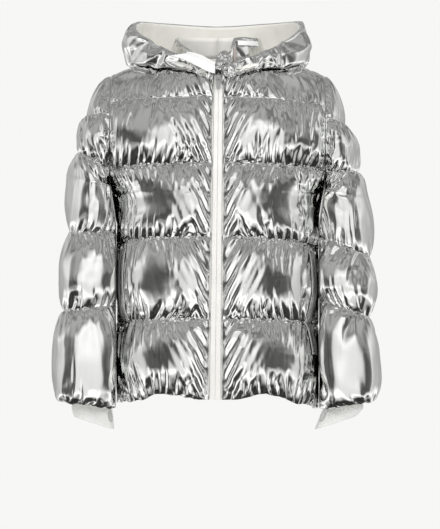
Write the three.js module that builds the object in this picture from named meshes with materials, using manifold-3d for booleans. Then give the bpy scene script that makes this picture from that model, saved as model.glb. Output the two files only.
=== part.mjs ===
// A hip-length hooded puffer jacket in mirror-silver foil cloth, worn form, hood down.
// Millimetres, +Z up. X runs to the wearer's left, Y to the back. The origin lies midway between
// the shoulders, level with the top of the shoulder slope, where a wearer carries the jacket.

import * as THREE from "three";
import Module from "manifold-3d";
import { mergeVertices } from "three/addons/utils/BufferGeometryUtils.js";

const wasm = await Module();
wasm.setup();

// Driving dimensions
const seamGap = 0.3; // clear space between two pieces sewn together
const seamWall = 3.6; // shell, quilting thread and lining pressed together at a seam
const liningWall = 1.6; // single lining cloth
const bodyPuff = 17; // how far a body channel's down stands out over its seams
const sleevePuff = 10;
const gatherDepth = 1.5; // half height of the gathers beside a quilting seam
const sideSeamY = 4;
const touching = 1e-6; // two levels or shares closer than this are the same
const zip = {
  topZ: -11,
  topX: 2, // the closed zip leans a little across the body
  hemX: -4.5,
  topHalfBand: 8,
  hemHalfBand: 10.6,
  tapeWall: 1.4,
  tapeSink: 0.9, // how far the tape lies below the face of the fronts' edges
};
const neck = { halfWidth: 80, y: 2, front: 102, back: 68, sideZ: 16, frontDip: 30, backRise: 8 };
const armhole = { x: 198, y: 2, z: -116, half: 100, front: 72, back: 76 };

// Quilting levels of the body: height at the centre front, how much lower the seam lies at each
// side, half width at the side seam (up to the armhole), depth to the front and to the back. arch
// lifts the row between the zip and the side. All are measured to the plain inside.
const bodyLevels = [
  { z: -606, dropRight: 8, dropLeft: 20, halfWidth: 176, front: 134, back: 124, arch: 12 },
  { z: -460, dropRight: 7, dropLeft: 13, halfWidth: 173, front: 131, back: 119, arch: 0 },
  { z: -310, dropRight: 10, dropLeft: 25, halfWidth: 174, front: 127, back: 114, arch: 0 },
  { z: -175, dropRight: 12, dropLeft: 13, front: 119, back: 109, arch: 0 },
  { z: -54, dropRight: 10, dropLeft: 18, front: 106, back: 96, arch: 0 },
];
const armpitShare = 0.65; // share of the third channel's side edge that is side seam
const channelSteps = [0, 0.12, 0.35, 0.65, 0.88];

// Sleeve levels: the outermost and innermost points of each quilting seam, the half depth, and
// the turn of the arc that ends on the armhole (0 where the level is a whole ring). The wearer's
// left sleeve hangs with its seams lower on the outside.
const sleeveLevelsRight = [
  { outerX: 290, outerZ: -610, innerX: 190, innerZ: -624, y: -38, halfDepth: 62, turn: 0 },
  { outerX: 279, outerZ: -446, innerX: 191, innerZ: -436, y: -24, halfDepth: 64, turn: 0 },
  { outerX: 268, outerZ: -304, innerX: 191, innerZ: -312, y: -10, halfDepth: 68, turn: 0 },
  { outerX: 252, outerZ: -152, innerX: 186, innerZ: -186, y: 0, halfDepth: 72, turn: 0.75 },
  { outerX: 236, outerZ: -86, innerX: 158, innerZ: -84, y: 1, halfDepth: 69, turn: 1.45 },
];
const sleeveLevelsLeft = [
  { outerX: 284, outerZ: -610, innerX: 190, innerZ: -624, y: -38, halfDepth: 62, turn: 0 },
  { outerX: 274, outerZ: -458, innerX: 191, innerZ: -424, y: -24, halfDepth: 64, turn: 0 },
  { outerX: 275, outerZ: -350, innerX: 191, innerZ: -318, y: -12, halfDepth: 68, turn: 0 },
  { outerX: 254, outerZ: -190, innerX: 186, innerZ: -188, y: 0, halfDepth: 72, turn: 0.75 },
  { outerX: 229, outerZ: -104, innerX: 158, innerZ: -90, y: 1, halfDepth: 69, turn: 1.45 },
];
const sleeveLevelsOf = (side) => (side < 0 ? sleeveLevelsRight : sleeveLevelsLeft);
const sleeveCapSwell = 6; // how far the cap rounds out over the straight line to the shoulder
const sleeveTopTurn = 0.62; // half angle of the armhole arc that the sleeve's top row follows

// Hood sections, by angle from the centre front: distance from the neck's axis and height of the
// floor that lies on the shoulder, the outer corner, the standing wall and the gathered rim.
const hoodSections = [
  { at: 5, floorR: 116, floorZ: -8, edgeR: 120, edgeZ: -5, wallR: 121, wallZ: 0, rimR: 120, rimZ: 5 },
  { at: 30, floorR: 112, floorZ: 0, edgeR: 118, edgeZ: 3, wallR: 120, wallZ: 11, rimR: 117, rimZ: 20 },
  { at: 60, floorR: 112, floorZ: 8, edgeR: 128, edgeZ: 10, wallR: 135, wallZ: 26, rimR: 127, rimZ: 42 },
  { at: 80, floorR: 116, floorZ: 12, edgeR: 148, edgeZ: 12, wallR: 160, wallZ: 38, rimR: 152, rimZ: 70 },
  { at: 110, floorR: 116, floorZ: 16, edgeR: 156, edgeZ: 10, wallR: 171, wallZ: 44, rimR: 160, rimZ: 92 },
  { at: 145, floorR: 112, floorZ: 16, edgeR: 166, edgeZ: -10, wallR: 194, wallZ: 30, rimR: 172, rimZ: 94 },
  { at: 180, floorR: 114, floorZ: 10, edgeR: 164, edgeZ: -28, wallR: 204, wallZ: 20, rimR: 178, rimZ: 90 },
];
const hoodWall = 9;

// Height of the standing collar's top edge, and how far it leans outwards, by angle from the
// centre front. On the wearer's right the front corner is turned out and lies low.
const collarTopsRight = [
  { at: 4, z: 6, lean: 1 },
  { at: 26, z: 24, lean: 4 },
  { at: 50, z: 42, lean: 1 },
  { at: 80, z: 56, lean: -6 },
  { at: 120, z: 62, lean: -8 },
  { at: 180, z: 62, lean: -6 },
];
const collarTopsLeft = [
  { at: 4, z: 14, lean: 1 },
  { at: 15, z: 26, lean: -3 },
  { at: 22, z: 54, lean: -5 },
  { at: 60, z: 57, lean: -7 },
  { at: 120, z: 62, lean: -8 },
  { at: 180, z: 62, lean: -6 },
];
const collarPuff = 3;

const wrist = { x: 231, y: -42, halfWidth: 37, halfDepth: 29, z: -602 };
const cuff = {
  seatZ: -560,
  seatGap: 1.1, // between the cuff's top edge and the sleeve's lining
  outerHemZ: -640,
  innerHemZ: -663,
  thumbZ: -638,
  thumbHalf: 13,
  thumbHalfWidth: 9.5,
  thumbTurn: 62, // degrees from the front towards the body
  swingRight: 4, // how far each cuff's hem swings in towards the body
  swingLeft: 15,
};
const pocketZip = { width: 7, wall: 1.4, lift: 0.9, column: 13 };
const slider = { width: 9, length: 12, wall: 3, centreZ: -20 };
const bail = { width: 2.2, wall: 1.2, room: 2.8 };
const pull = { headHalf: 3.1, tipHalf: 3.7, length: 21, wall: 1.4, eyeHalf: 1.6, eyeLength: 5.3 };

const foil = new THREE.MeshStandardMaterial({ color: 0xc9cbcc, metalness: 0.9, roughness: 0.22 });
const liningCloth = new THREE.MeshStandardMaterial({ color: 0xeeebe2, metalness: 0, roughness: 0.8 });
const knit = new THREE.MeshStandardMaterial({ color: 0xf4f3ef, metalness: 0, roughness: 0.95 });
const zipTapeWhite = new THREE.MeshStandardMaterial({ color: 0xf1f0ec, metalness: 0, roughness: 0.6 });
const chrome = new THREE.MeshStandardMaterial({ color: 0xd5d6d8, metalness: 1, roughness: 0.2 });

// Numbers
const mix = (a, b, t) => a + (b - a) * t;
const clamp01 = (t) => Math.min(1, Math.max(0, t));
const smooth = (t) => clamp01(t) ** 2 * (3 - 2 * clamp01(t));
const radians = (degrees) => (degrees * Math.PI) / 180;
const vec = (x, y, z) => new THREE.Vector3(x, y, z);

// One column of a table, read smoothly at a fractional row.
function splineValue(table, key, at) {
  const last = table.length - 1;
  const i = Math.min(last - 1, Math.max(0, Math.floor(at)));
  const value = (k) => table[Math.min(last, Math.max(0, k))][key];
  const [a, b, c, d] = [value(i - 1), value(i), value(i + 1), value(i + 2)];
  const t = at - i;
  return b + 0.5 * t * (c - a + t * (2 * a - 5 * b + 4 * c - d + t * (3 * (b - c) + d - a)));
}

// The fractional row of a table whose column `at` holds rising angles.
function rowAtAngle(table, degrees) {
  const last = table.length - 1;
  if (degrees <= table[0].at) return 0;
  const next = table.findIndex((row) => row.at >= degrees);
  if (next < 0) return last;
  return next - 1 + (degrees - table[next - 1].at) / (table[next].at - table[next - 1].at);
}

// Grids and walls
function sweepNormals(grid, outwards) {
  return grid.map((row, r) =>
    row.map((point, c) => {
      const along = row[Math.min(row.length - 1, c + 1)].clone().sub(row[Math.max(0, c - 1)]);
      const up = grid[Math.min(grid.length - 1, r + 1)][c].clone().sub(grid[Math.max(0, r - 1)][c]);
      const normal = along.cross(up).normalize();
      return normal.dot(outwards(point)) < 0 ? normal.negate() : normal;
    }),
  );
}

function meshGeometry(points, triangles) {
  let volume = 0;
  for (const [a, b, c] of triangles)
    volume += points[a].dot(points[b].clone().cross(points[c]));
  const index = volume < 0 ? triangles.map(([a, b, c]) => [a, c, b]) : triangles;
  const geometry = new THREE.BufferGeometry();
  const positions = points.flatMap((point) => point.toArray());
  geometry.setAttribute("position", new THREE.Float32BufferAttribute(positions, 3));
  geometry.setIndex(index.flat());
  return mergeVertices(geometry, 1e-3);
}

// One closed wall between two grids. The inner grid keeps only the rows in innerRows; up to row
// joinedRow the first and last columns are one line, so no edge is closed there.
function wallGeometry(outer, inner, innerRows, joinedRow = 0) {
  const columns = outer[0].length;
  const points = [];
  const triangles = [];
  const place = (rows) => rows.map((row) => row.map((point) => points.push(point) - 1));
  const out = place(outer);
  const kept = place(innerRows.map((r) => inner[r]));
  const quad = (a, b, c, d) => triangles.push([a, b, c], [a, c, d]);
  for (let r = 0; r + 1 < out.length; r++)
    for (let c = 0; c + 1 < columns; c++)
      quad(out[r][c], out[r][c + 1], out[r + 1][c + 1], out[r + 1][c]);
  for (let r = 0; r + 1 < kept.length; r++)
    for (let c = 0; c + 1 < columns; c++)
      triangles.push(
        [kept[r][c], kept[r + 1][c + 1], kept[r][c + 1]],
        [kept[r][c], kept[r + 1][c], kept[r + 1][c + 1]],
      );
  for (let c = 0; c + 1 < columns; c++) {
    quad(out[0][c + 1], out[0][c], kept[0][c], kept[0][c + 1]);
    quad(out.at(-1)[c], out.at(-1)[c + 1], kept.at(-1)[c + 1], kept.at(-1)[c]);
  }
  const closeEdge = (c, flip) => {
    const add = (a, b, d) => triangles.push(flip ? [a, d, b] : [a, b, d]);
    for (let k = 0; k + 1 < kept.length; k++) {
      const [low, high] = [innerRows[k], innerRows[k + 1]];
      if (low < joinedRow) continue;
      const middle = Math.floor((low + high) / 2);
      for (let r = low; r < high; r++)
        add(r < middle ? kept[k][c] : kept[k + 1][c], out[r][c], out[r + 1][c]);
      add(kept[k][c], out[middle][c], kept[k + 1][c]);
    }
  };
  closeEdge(0, false);
  closeEdge(columns - 1, true);
  return meshGeometry(points, triangles);
}

// Neck and armholes
function neckPoint(angle) {
  const towardsFront = Math.cos(angle);
  const reach = towardsFront > 0 ? neck.front : neck.back;
  const lift = towardsFront > 0 ? -neck.frontDip : neck.backRise;
  return vec(
    neck.halfWidth * Math.sin(angle),
    neck.y - reach * towardsFront,
    neck.sideZ + lift * towardsFront ** 2,
  );
}

// angle 0 is the armpit, half a turn the shoulder point; face -1 runs over the front, 1 the back.
function armholePoint(angle, face, side) {
  const reach = face < 0 ? armhole.front : armhole.back;
  return vec(
    side * armhole.x,
    armhole.y + face * reach * Math.sin(angle),
    armhole.z - armhole.half * Math.cos(angle),
  );
}
const armholeAngle = (z) => Math.acos(Math.min(1, Math.max(-1, (armhole.z - z) / armhole.half)));

const zipShare = (z) => clamp01((z - zip.topZ) / (bodyLevels[0].z - zip.topZ));
const zipX = (z) => mix(zip.topX, zip.hemX, zipShare(z));
const halfBand = (z) => mix(zip.topHalfBand, zip.hemHalfBand, zipShare(z));

// Body panels. level runs from 0 at the hem to 5 at the neckline and shoulder seam.
const sideDrop = (row, side) => (side < 0 ? row.dropRight : row.dropLeft);
const sideZ = (k, side) => bodyLevels[k].z - sideDrop(bodyLevels[k], side);
const armpit = (side) => armholePoint(0, -1, side);

function edgePoint(level, face, side) {
  const k = Math.min(4, Math.floor(level));
  const t = level - k;
  const seam = (i, share, toX, toZ) =>
    vec(
      side * mix(bodyLevels[i].halfWidth, toX, share),
      sideSeamY,
      mix(sideZ(i, side), toZ, share),
    );
  if (k < 2) return seam(k, t, bodyLevels[k + 1].halfWidth, sideZ(k + 1, side));
  if (k === 2 && t <= armpitShare) {
    const point = seam(2, (t / armpitShare) ** 4, armhole.x, armpit(side).z);
    point.z = mix(sideZ(2, side), armpit(side).z, t / armpitShare);
    point.y = mix(sideSeamY, armhole.y, t / armpitShare);
    return point;
  }
  const low = k === 2 ? 0 : armholeAngle(sideZ(k, side));
  const high = k === 4 ? Math.PI : armholeAngle(sideZ(Math.min(4, k + 1), side));
  const share = k === 2 ? (t - armpitShare) / (1 - armpitShare) : t;
  return armholePoint(mix(low, high, share), face, side);
}

// A level row from the centre to the side edge, rounder than an ellipse. Above the armpit it ends
// before it has turned to the side.
const rowBulge = 0.86;
const chestTurn = 1.05;
function rowPoint(level, across, face, side) {
  const depth = splineValue(bodyLevels, face < 0 ? "front" : "back", Math.min(level, 4));
  const k = Math.min(3, Math.floor(level));
  const centreZ = mix(bodyLevels[k].z, bodyLevels[k + 1].z, Math.min(level, 4) - k);
  const arch = mix(bodyLevels[k].arch, bodyLevels[k + 1].arch, Math.min(level, 4) - k);
  const edge = edgePoint(level, face, side);
  const startX = face < 0 ? zipX(centreZ) + side * (halfBand(centreZ) + seamGap / 2) : 0;
  const turn = mix(Math.PI / 2, chestTurn, smooth((level - 2.1) / 0.55));
  const outwards = (Math.sin(turn * across) / Math.sin(turn)) ** rowBulge;
  const round = (1 - Math.cos(turn * across) ** rowBulge) / (1 - Math.cos(turn) ** rowBulge);
  return vec(
    mix(startX, edge.x, outwards),
    mix(face * depth, edge.y, round),
    mix(centreZ, edge.z, across ** 1.6) + arch * Math.sin(Math.PI * Math.min(1, across / 0.6)) ** 2,
  );
}

// The chest and the upper back round out by this much towards the shoulder seam.
const shoulderSwell = 11;

// The top edge: half the neckline, then the shoulder seam.
const neckShare = 0.5; // share of the top edge that is neckline
const shoulderArch = 5;
function topPoint(across, face, side) {
  if (across <= neckShare) {
    const share = across / neckShare;
    const centre = face < 0 ? zipAngleOf(side) : Math.PI;
    return neckPoint(side * mix(centre, Math.PI / 2, share));
  }
  const share = (across - neckShare) / (1 - neckShare);
  const from = neckPoint((side * Math.PI) / 2);
  const to = armholePoint(Math.PI, -1, side);
  return from.lerp(to, share).add(vec(0, 0, shoulderArch * Math.sin(Math.PI * share)));
}

function bodyPoint(level, across, face, side) {
  if (level <= 4) return rowPoint(level, across, face, side);
  const t = level - 4;
  const point = rowPoint(4, across, face, side).lerp(topPoint(across, face, side), t);
  const edge = edgePoint(level, face, side);
  const straight = edgePoint(4, face, side).lerp(topPoint(1, face, side), t);
  point.add(edge.sub(straight).multiplyScalar(across ** 3));
  const swell = shoulderSwell * 4 * t * (1 - t) * smooth(across / 0.5) * (1 - across ** 3);
  return point.add(vec(0, face * 0.55 * swell, 0.8 * swell));
}

const levelRows = (channels) => {
  const rows = [];
  for (let k = 0; k < channels; k++) for (const t of channelSteps) rows.push(k + t);
  return [...rows, channels];
};
const plainRows = (rows) => rows.map((_, r) => r).filter((r) => r % 5 === 0 || r % 5 === 3);

// Height of the down over its seams: nothing on a quilting seam, full between two of them.
function channelHeight(level, last) {
  const t = level - Math.min(last - 1, Math.floor(level));
  return (4 * t * (1 - t)) ** 0.6;
}

// Gathers stand beside each quilting seam, one crest to every second column.
function gather(level, column, columns, last) {
  const t = level - Math.min(last - 1, Math.floor(level));
  const nearSeam = t > 0 && t < 1 && (t < 0.2 || t > 0.8);
  if (!nearSeam || column < 2 || column > columns - 2) return 0;
  const uneven = 0.75 + 0.25 * Math.sin(column * 2.3 + level * 5.1);
  return (column % 2 ? -1 : 1) * gatherDepth * uneven;
}

// How far from the middle body and sleeve divide: at the armhole, then close beside the body.
const besideBody = { x: 187, reachedBelow: 74, blend: 25 }; // measured down from the armpit
const underArmpit = (z, distance) => clamp01((armhole.z - armhole.half - z) / distance);
const dividerX = (z) => mix(armhole.x, besideBody.x, underArmpit(z, besideBody.reachedBelow));
const besideArmhole = (z) => 1 - underArmpit(z, besideBody.blend);
const keepOff = (z) => mix(0.5, seamGap / 2, besideArmhole(z));

function keepInside(point) {
  const limit = dividerX(point.z - 5) - keepOff(point.z);
  point.x = Math.sign(point.x) * Math.min(Math.abs(point.x), limit);
}

function keepOutside(point, wall) {
  const limit = dividerX(point.z) + keepOff(point.z) + wall * (1 - besideArmhole(point.z));
  point.x = Math.sign(point.x) * Math.max(Math.abs(point.x), limit);
}

// pointAt gives the plain inside; steer turns a normal so that neighbours meet face to face.
function paddedGrids(piece) {
  const { pointAt, steer, rows, columns, last, puff, edgeFade, outwards, shift, limit } = piece;
  const joinedRow = piece.joinedRow ?? -1;
  const inner = rows.map((level) =>
    Array.from({ length: columns + 1 }, (_, c) => pointAt(level, c / columns)),
  );
  const normals = sweepNormals(inner, outwards);
  for (const row of normals.slice(0, joinedRow + 1)) {
    const shared = row[0].clone().add(row[columns]).normalize();
    row[0].copy(shared);
    row[columns].copy(shared);
  }
  const outer = inner.map((row, r) =>
    row.map((point, c) => {
      const normal = normals[r][c];
      steer(normal, rows[r], c / columns, point);
      const fade = edgeFade(c / columns, rows[r]);
      const height = seamWall + puff * channelHeight(rows[r], last) * fade;
      const raised = gather(rows[r], c, columns, last) * Math.min(1, 2 * fade);
      return point.clone().addScaledVector(normal, height + raised);
    }),
  );
  for (const grid of [inner, outer])
    grid.forEach((row, r) => row.forEach((point, c) => point.add(shift(rows[r], c / columns))));
  for (const point of inner.flat()) limit(point, seamWall);
  for (const point of outer.flat()) limit(point, 0);
  return { inner, outer };
}

const topLevel = 5;
const armpitLevel = 2 + armpitShare;
const isTop = (level) => level > topLevel - touching;
const isArmhole = (level) => level > armpitLevel - touching;
const roundFade = (distance) => Math.sqrt(1 - (1 - clamp01(distance)) ** 2);

// Edge faces lie square to their seams. Near an armhole the down swells forwards or backwards
// only, and the neckline spreads straight out from the neck.
function steerBody(normal, level, across, hasCentreSeam, point) {
  if (isArmhole(level)) normal.x *= 1 - across ** 2;
  if (isTop(level) && across <= neckShare + touching) normal.set(point.x, point.y - neck.y, 0);
  else if (isTop(level)) normal.y = 0;
  if (across > 1 - touching) normal[isArmhole(level) ? "x" : "y"] = 0;
  if (hasCentreSeam && across < touching) normal.x = 0;
  normal.normalize();
}

// Half a seam gap away from each neighbour.
function bodyShift(level, across, face, side) {
  const onSide = across > 1 - touching;
  const onShoulder = isTop(level) && across > neckShare + touching;
  const onSideSeam = onSide && level < armpitLevel + touching;
  return vec(
    onSide && isArmhole(level) ? (-side * seamGap) / 2 : 0,
    onShoulder || onSideSeam ? (face * seamGap) / 2 : 0,
    0,
  );
}

// The arm presses the down flat along the side seam.
function sideFade(across, level) {
  const pressed = isArmhole(level) ? 1 : 1 - 0.8 * smooth((across - 0.66) / 0.24);
  return roundFade((1 - across) / 0.16) * pressed;
}

const capFade = (across, level) => (level > 4 ? 0.6 - 0.25 * across : 1);
const bodyOutwards = (point) => vec(point.x, point.y * 1.4, Math.max(0, (point.z + 60) * 1.5));
const bodyRows = levelRows(topLevel);

const bodyGrids = {};
function bodyFront(name, side) {
  const grids = paddedGrids({
    pointAt: (level, share) => bodyPoint(level, share, -1, side),
    steer: (normal, level, share, point) => steerBody(normal, level, share, true, point),
    rows: bodyRows,
    columns: 16,
    last: topLevel,
    puff: bodyPuff,
    edgeFade: (share, level) =>
      roundFade(share / 0.12) * sideFade(share, level) * capFade(share, level),
    outwards: bodyOutwards,
    shift: (level, share) => bodyShift(level, share, -1, side),
    limit: keepInside,
  });
  bodyGrids[name] = grids.outer;
  return wallGeometry(grids.outer, grids.inner, plainRows(bodyRows));
}

function bodyBack(name) {
  const sideOf = (share) => (share < 0.5 ? -1 : 1);
  const acrossOf = (share) => Math.abs(2 * share - 1);
  const grids = paddedGrids({
    pointAt: (level, share) => bodyPoint(level, acrossOf(share), 1, sideOf(share)),
    steer: (normal, level, share, point) => steerBody(normal, level, acrossOf(share), false, point),
    rows: bodyRows,
    columns: 28,
    last: topLevel,
    puff: bodyPuff,
    edgeFade: (share, level) =>
      sideFade(acrossOf(share), level) * capFade(acrossOf(share), level),
    outwards: bodyOutwards,
    shift: (level, share) => bodyShift(level, acrossOf(share), 1, sideOf(share)),
    limit: keepInside,
  });
  bodyGrids[name] = grids.outer;
  return wallGeometry(grids.outer, grids.inner, plainRows(bodyRows));
}

// Sleeves. share runs from the underarm over the front, the outside and the back to the underarm.
function sleeveEdgeAngle(level, side) {
  if (level <= armpitLevel) return 0;
  const [low, high] = [3, 4].map((k) => armholeAngle(sleeveLevelsOf(side)[k].innerZ));
  if (level < 3) return (low * (level - armpitLevel)) / (1 - armpitShare);
  if (level < 4) return mix(low, high, level - 3);
  return mix(high, Math.PI - sleeveTopTurn, level - 4);
}

function sleeveRing(level, share, side) {
  const levels = sleeveLevelsOf(side);
  const read = (key) => splineValue(levels, key, Math.min(4, level));
  const opening = clamp01((level - armpitLevel) / (1 - armpitShare));
  const turn = level < 3 ? levels[3].turn * opening : read("turn");
  const angle = mix(turn, 2 * Math.PI - turn, share);
  const outermost = vec(read("outerX"), read("y"), read("outerZ"));
  const innermost = vec(read("innerX"), read("y"), read("innerZ"));
  const point = innermost.lerp(outermost, 0.5 - 0.5 * Math.cos(angle));
  point.y -= read("halfDepth") * Math.sin(angle);
  point.x *= side;
  return point;
}

function sleevePoint(level, share, side) {
  const face = share < 0.5 ? -1 : 1;
  const edge = (f) => armholePoint(sleeveEdgeAngle(level, side), f, side);
  if (level <= 4) {
    const point = sleeveRing(level, share, side);
    const pull = smooth((level - 1.8) / (0.2 + armpitShare));
    const front = edge(-1).sub(sleeveRing(level, 0, side)).multiplyScalar((1 - share) ** 3);
    const back = edge(1).sub(sleeveRing(level, 1, side)).multiplyScalar(share ** 3);
    return point.addScaledVector(front.add(back), pull);
  }
  const t = level - 4;
  const top = armholePoint(Math.PI - sleeveTopTurn * Math.abs(1 - 2 * share), face, side);
  const capRow = sleevePoint(4, share, side);
  const point = capRow.clone().lerp(top, t);
  const edgeFix = (f, s) => {
    const start = sleevePoint(4, s, side).lerp(armholePoint(Math.PI - sleeveTopTurn, f, side), t);
    return edge(f).sub(start);
  };
  point.add(edgeFix(-1, 0).multiplyScalar((1 - share) ** 3));
  point.add(edgeFix(1, 1).multiplyScalar(share ** 3));
  const swell = sleeveCapSwell * 4 * t * (1 - t) * Math.sin(Math.PI * share);
  return point.add(vec(side * 0.5 * swell, 0, 0.86 * swell));
}

function sleeve(side) {
  const rows = levelRows(topLevel);
  const arm = { topX: 195, wristX: 240, wristY: -38, rise: 25 }; // the line inside the sleeve
  const outwards = (point) => {
    const share = clamp01((point.z - armhole.z) / (wrist.z - armhole.z));
    const [x, y] = [side * mix(arm.topX, arm.wristX, share), mix(armhole.y, arm.wristY, share)];
    return vec(point.x - x, point.y - y, arm.rise * (1 - share));
  };
  const underarm = (share) => Math.min(share, 1 - share);
  const onArmhole = (share, level) =>
    isTop(level) || (underarm(share) < touching && isArmhole(level));
  const joinedRow = rows.findIndex(isArmhole);
  const grids = paddedGrids({
    joinedRow,
    pointAt: (level, share) => sleevePoint(level, share, side),
    steer: (normal, level, share) => {
      if (level > armpitLevel && side * normal.x < 0) normal.x = 0;
      if (onArmhole(share, level)) normal.x = 0;
      else if (underarm(share) < touching) normal.y = 0;
      normal.normalize();
    },
    rows,
    columns: 20,
    last: topLevel,
    puff: sleevePuff,
    edgeFade: (share, level) => {
      const pressed = level < 3 ? 0.25 + 0.75 * smooth(underarm(share) / 0.25) : 1;
      return roundFade(underarm(share) / 0.2) * pressed * (level > 4 ? 0.45 : 1);
    },
    outwards,
    shift: (level, share) => vec(onArmhole(share, level) ? (side * seamGap) / 2 : 0, 0, 0),
    limit: keepOutside,
  });
  return wallGeometry(grids.outer, grids.inner, plainRows(rows), joinedRow);
}

// Collar: two halves of one stand, seamed at the back of the neck. Each has a column at every
// column of the necklines that it stands on.
const collarSteps = [
  ...Array.from({ length: 8 }, (_, i) => ({ quarter: 0, share: i / 8 })),
  ...Array.from({ length: 8 }, (_, i) => ({ quarter: 1, share: i / 7 })),
];
const zipAngleOf = (side) => Math.asin((halfBand(zip.topZ) + side * zipX(zip.topZ)) / neck.halfWidth);

function collarHalf(side) {
  const table = side < 0 ? collarTopsRight : collarTopsLeft;
  const heights = [0, 0.25, 0.6, 1];
  const quarter = Math.PI / 2;
  const grid = (thickness) =>
    heights.map((h) =>
      collarSteps.map((step) => {
        const [from, to] = step.quarter ? [quarter, Math.PI] : [zipAngleOf(side), quarter];
        const angle = mix(from, to, step.share);
        const row = rowAtAngle(table, (angle * 180) / Math.PI);
        const foot = neckPoint(side * angle);
        const out = vec(foot.x, foot.y - neck.y, 0).normalize();
        const top = splineValue(table, "z", row);
        const lean = splineValue(table, "lean", row) * h ** 1.5;
        const puff = collarPuff * Math.sin(Math.PI * Math.min(1, h * 0.94)) ** 0.8;
        const point = foot.clone().addScaledVector(out, lean + thickness * (seamWall + puff));
        point.z = mix(foot.z + seamGap, top, h);
        if (step.share === 1) point.x += (side * seamGap) / 2;
        return point;
      }),
    );
  return wallGeometry(grid(1), grid(0), [0, 1, 2, 3]);
}

// Hood, worn down: a floor on the shoulders, a standing wall and a gathered rim.
const bodyMeshes = [];
const downwards = new THREE.Raycaster();
function bodyTopUnder(x, y) {
  const reach = 8; // the highest cloth within this distance counts
  const heights = [[0, 0], [reach, 0], [-reach, 0], [0, reach], [0, -reach]].map(([dx, dy]) => {
    downwards.set(vec(x + dx, y + dy, 300), vec(0, 0, -1));
    const hits = downwards.intersectObjects(bodyMeshes, false);
    return hits.length ? hits[0].point.z : -Infinity;
  });
  return Math.max(...heights);
}

const hoodColumns = 40;
const hoodStations = [0, 0.6, 1.2, 1.8, 2.4, 3, 3.5, 4];
const hoodRows = hoodStations.map((_, r) => r);
const hoodStart = seamWall + collarPuff + 1.6;
const hoodClearance = 1.8; // over the cloth that the hood lies on
function hoodSection(degrees) {
  const mirrored = Math.abs(degrees);
  const row = rowAtAngle(hoodSections, mirrored);
  const read = (key) => splineValue(hoodSections, key, row);
  const foot = neckPoint(radians(degrees));
  const direction = vec(Math.sin(radians(degrees)), -Math.cos(radians(degrees)), 0);
  const footR = Math.hypot(foot.x, foot.y - neck.y) + hoodStart;
  const table = [
    { r: footR, z: foot.z + 2 },
    { r: Math.max(footR + 1, read("floorR")), z: read("floorZ") },
    { r: Math.max(footR + 2, read("edgeR")), z: read("edgeZ") },
    { r: Math.max(footR + 2, read("wallR")), z: read("wallZ") },
    { r: Math.max(footR + 1, read("rimR")), z: read("rimZ") },
  ];
  return hoodStations.map((station) =>
    direction
      .clone()
      .multiplyScalar(splineValue(table, "r", station))
      .add(vec(0, neck.y, splineValue(table, "z", station))),
  );
}

function hoodGrid(columns, lift) {
  const [start, end] = [hoodSections[0].at - 360, -hoodSections[0].at];
  const angles = Array.from({ length: columns + 1 }, (_, c) => {
    const degrees = mix(start, end, c / columns);
    return degrees < -180 ? degrees + 360 : degrees;
  });
  const sections = angles.map(hoodSection);
  const rows = hoodStations.map((_, r) => sections.map((section) => section[r]));
  for (const row of rows)
    for (const point of row)
      point.z = Math.max(point.z, bodyTopUnder(point.x, point.y) + hoodClearance);
  const inwards = sweepNormals(rows, (point) => {
    const radius = Math.hypot(point.x, point.y);
    return vec((-point.x / radius) * 20, (-point.y / radius) * 20, 90 - point.z);
  });
  for (const normal of inwards[0]) normal.set(0, 0, 1);
  return rows.map((row, r) =>
    row.map((point, c) => point.clone().addScaledVector(inwards[r][c], lift(r, angles[c]))),
  );
}

const hoodThickness = (r, degrees) => {
  const padding = Math.sin((Math.PI * (r + 0.4)) / (hoodStations.length - 0.2)) ** 0.6;
  return seamWall + (hoodWall - seamWall) * padding * smooth((Math.abs(degrees) - 10) / 70);
};

function hoodShell() {
  const outside = hoodGrid(hoodColumns, () => 0);
  return wallGeometry(outside, hoodGrid(hoodColumns, hoodThickness), hoodRows);
}

function hoodLining() {
  const face = (height) => hoodGrid(hoodColumns, (r, degrees) => hoodThickness(r, degrees) + height);
  const [under, over] = [face(seamGap), face(seamGap + liningWall)];
  return wallGeometry(under.slice(1), over.slice(1), hoodRows.slice(0, -1));
}

// Knitted cuffs, sewn inside the sleeves; each has a thumb hole on the side towards the body.
const cuffColumns = 24;
function cuffTube(side) {
  const [hem, next] = sleeveLevelsOf(side);
  const seatLevel = (cuff.seatZ - hem.outerZ) / (next.outerZ - hem.outerZ);
  const rings = [
    { seat: 1, z: cuff.seatZ },
    { seat: 0.45, z: cuff.seatZ - 14 },
    { seat: 0.06, z: wrist.z + 14 },
    { seat: 0, z: wrist.z - 8 },
    { seat: 0, z: wrist.z - 24 },
    { seat: 0, z: 0, hem: true },
  ];
  const grid = (thickness) =>
    rings.map((ring) =>
      Array.from({ length: cuffColumns + 1 }, (_, c) => {
        const angle = (2 * Math.PI * c) / cuffColumns;
        const wristPoint = vec(
          side * (wrist.x - wrist.halfWidth * Math.cos(angle)),
          wrist.y - wrist.halfDepth * Math.sin(angle),
          0,
        );
        const seatPoint = sleevePoint(seatLevel, c / cuffColumns, side);
        const inwards = vec(side * 240 - seatPoint.x, -34 - seatPoint.y, 0).normalize();
        seatPoint.addScaledVector(inwards, cuff.seatGap);
        const hemZ = mix(cuff.innerHemZ, cuff.outerHemZ, 0.5 - 0.5 * Math.cos(angle));
        const point = wristPoint.lerp(seatPoint, ring.seat);
        point.z = ring.hem ? hemZ : ring.z + (seatPoint.z - cuff.seatZ) * ring.seat;
        if (ring.hem) point.x -= side * (side < 0 ? cuff.swingRight : cuff.swingLeft);
        return point.addScaledVector(inwards, thickness * liningWall);
      }),
    );
  const rows = rings.map((_, r) => r);
  const tube = wallGeometry(grid(0), grid(1), rows, rows.length);
  return subtract(tube, thumbHole(side));
}

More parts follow.
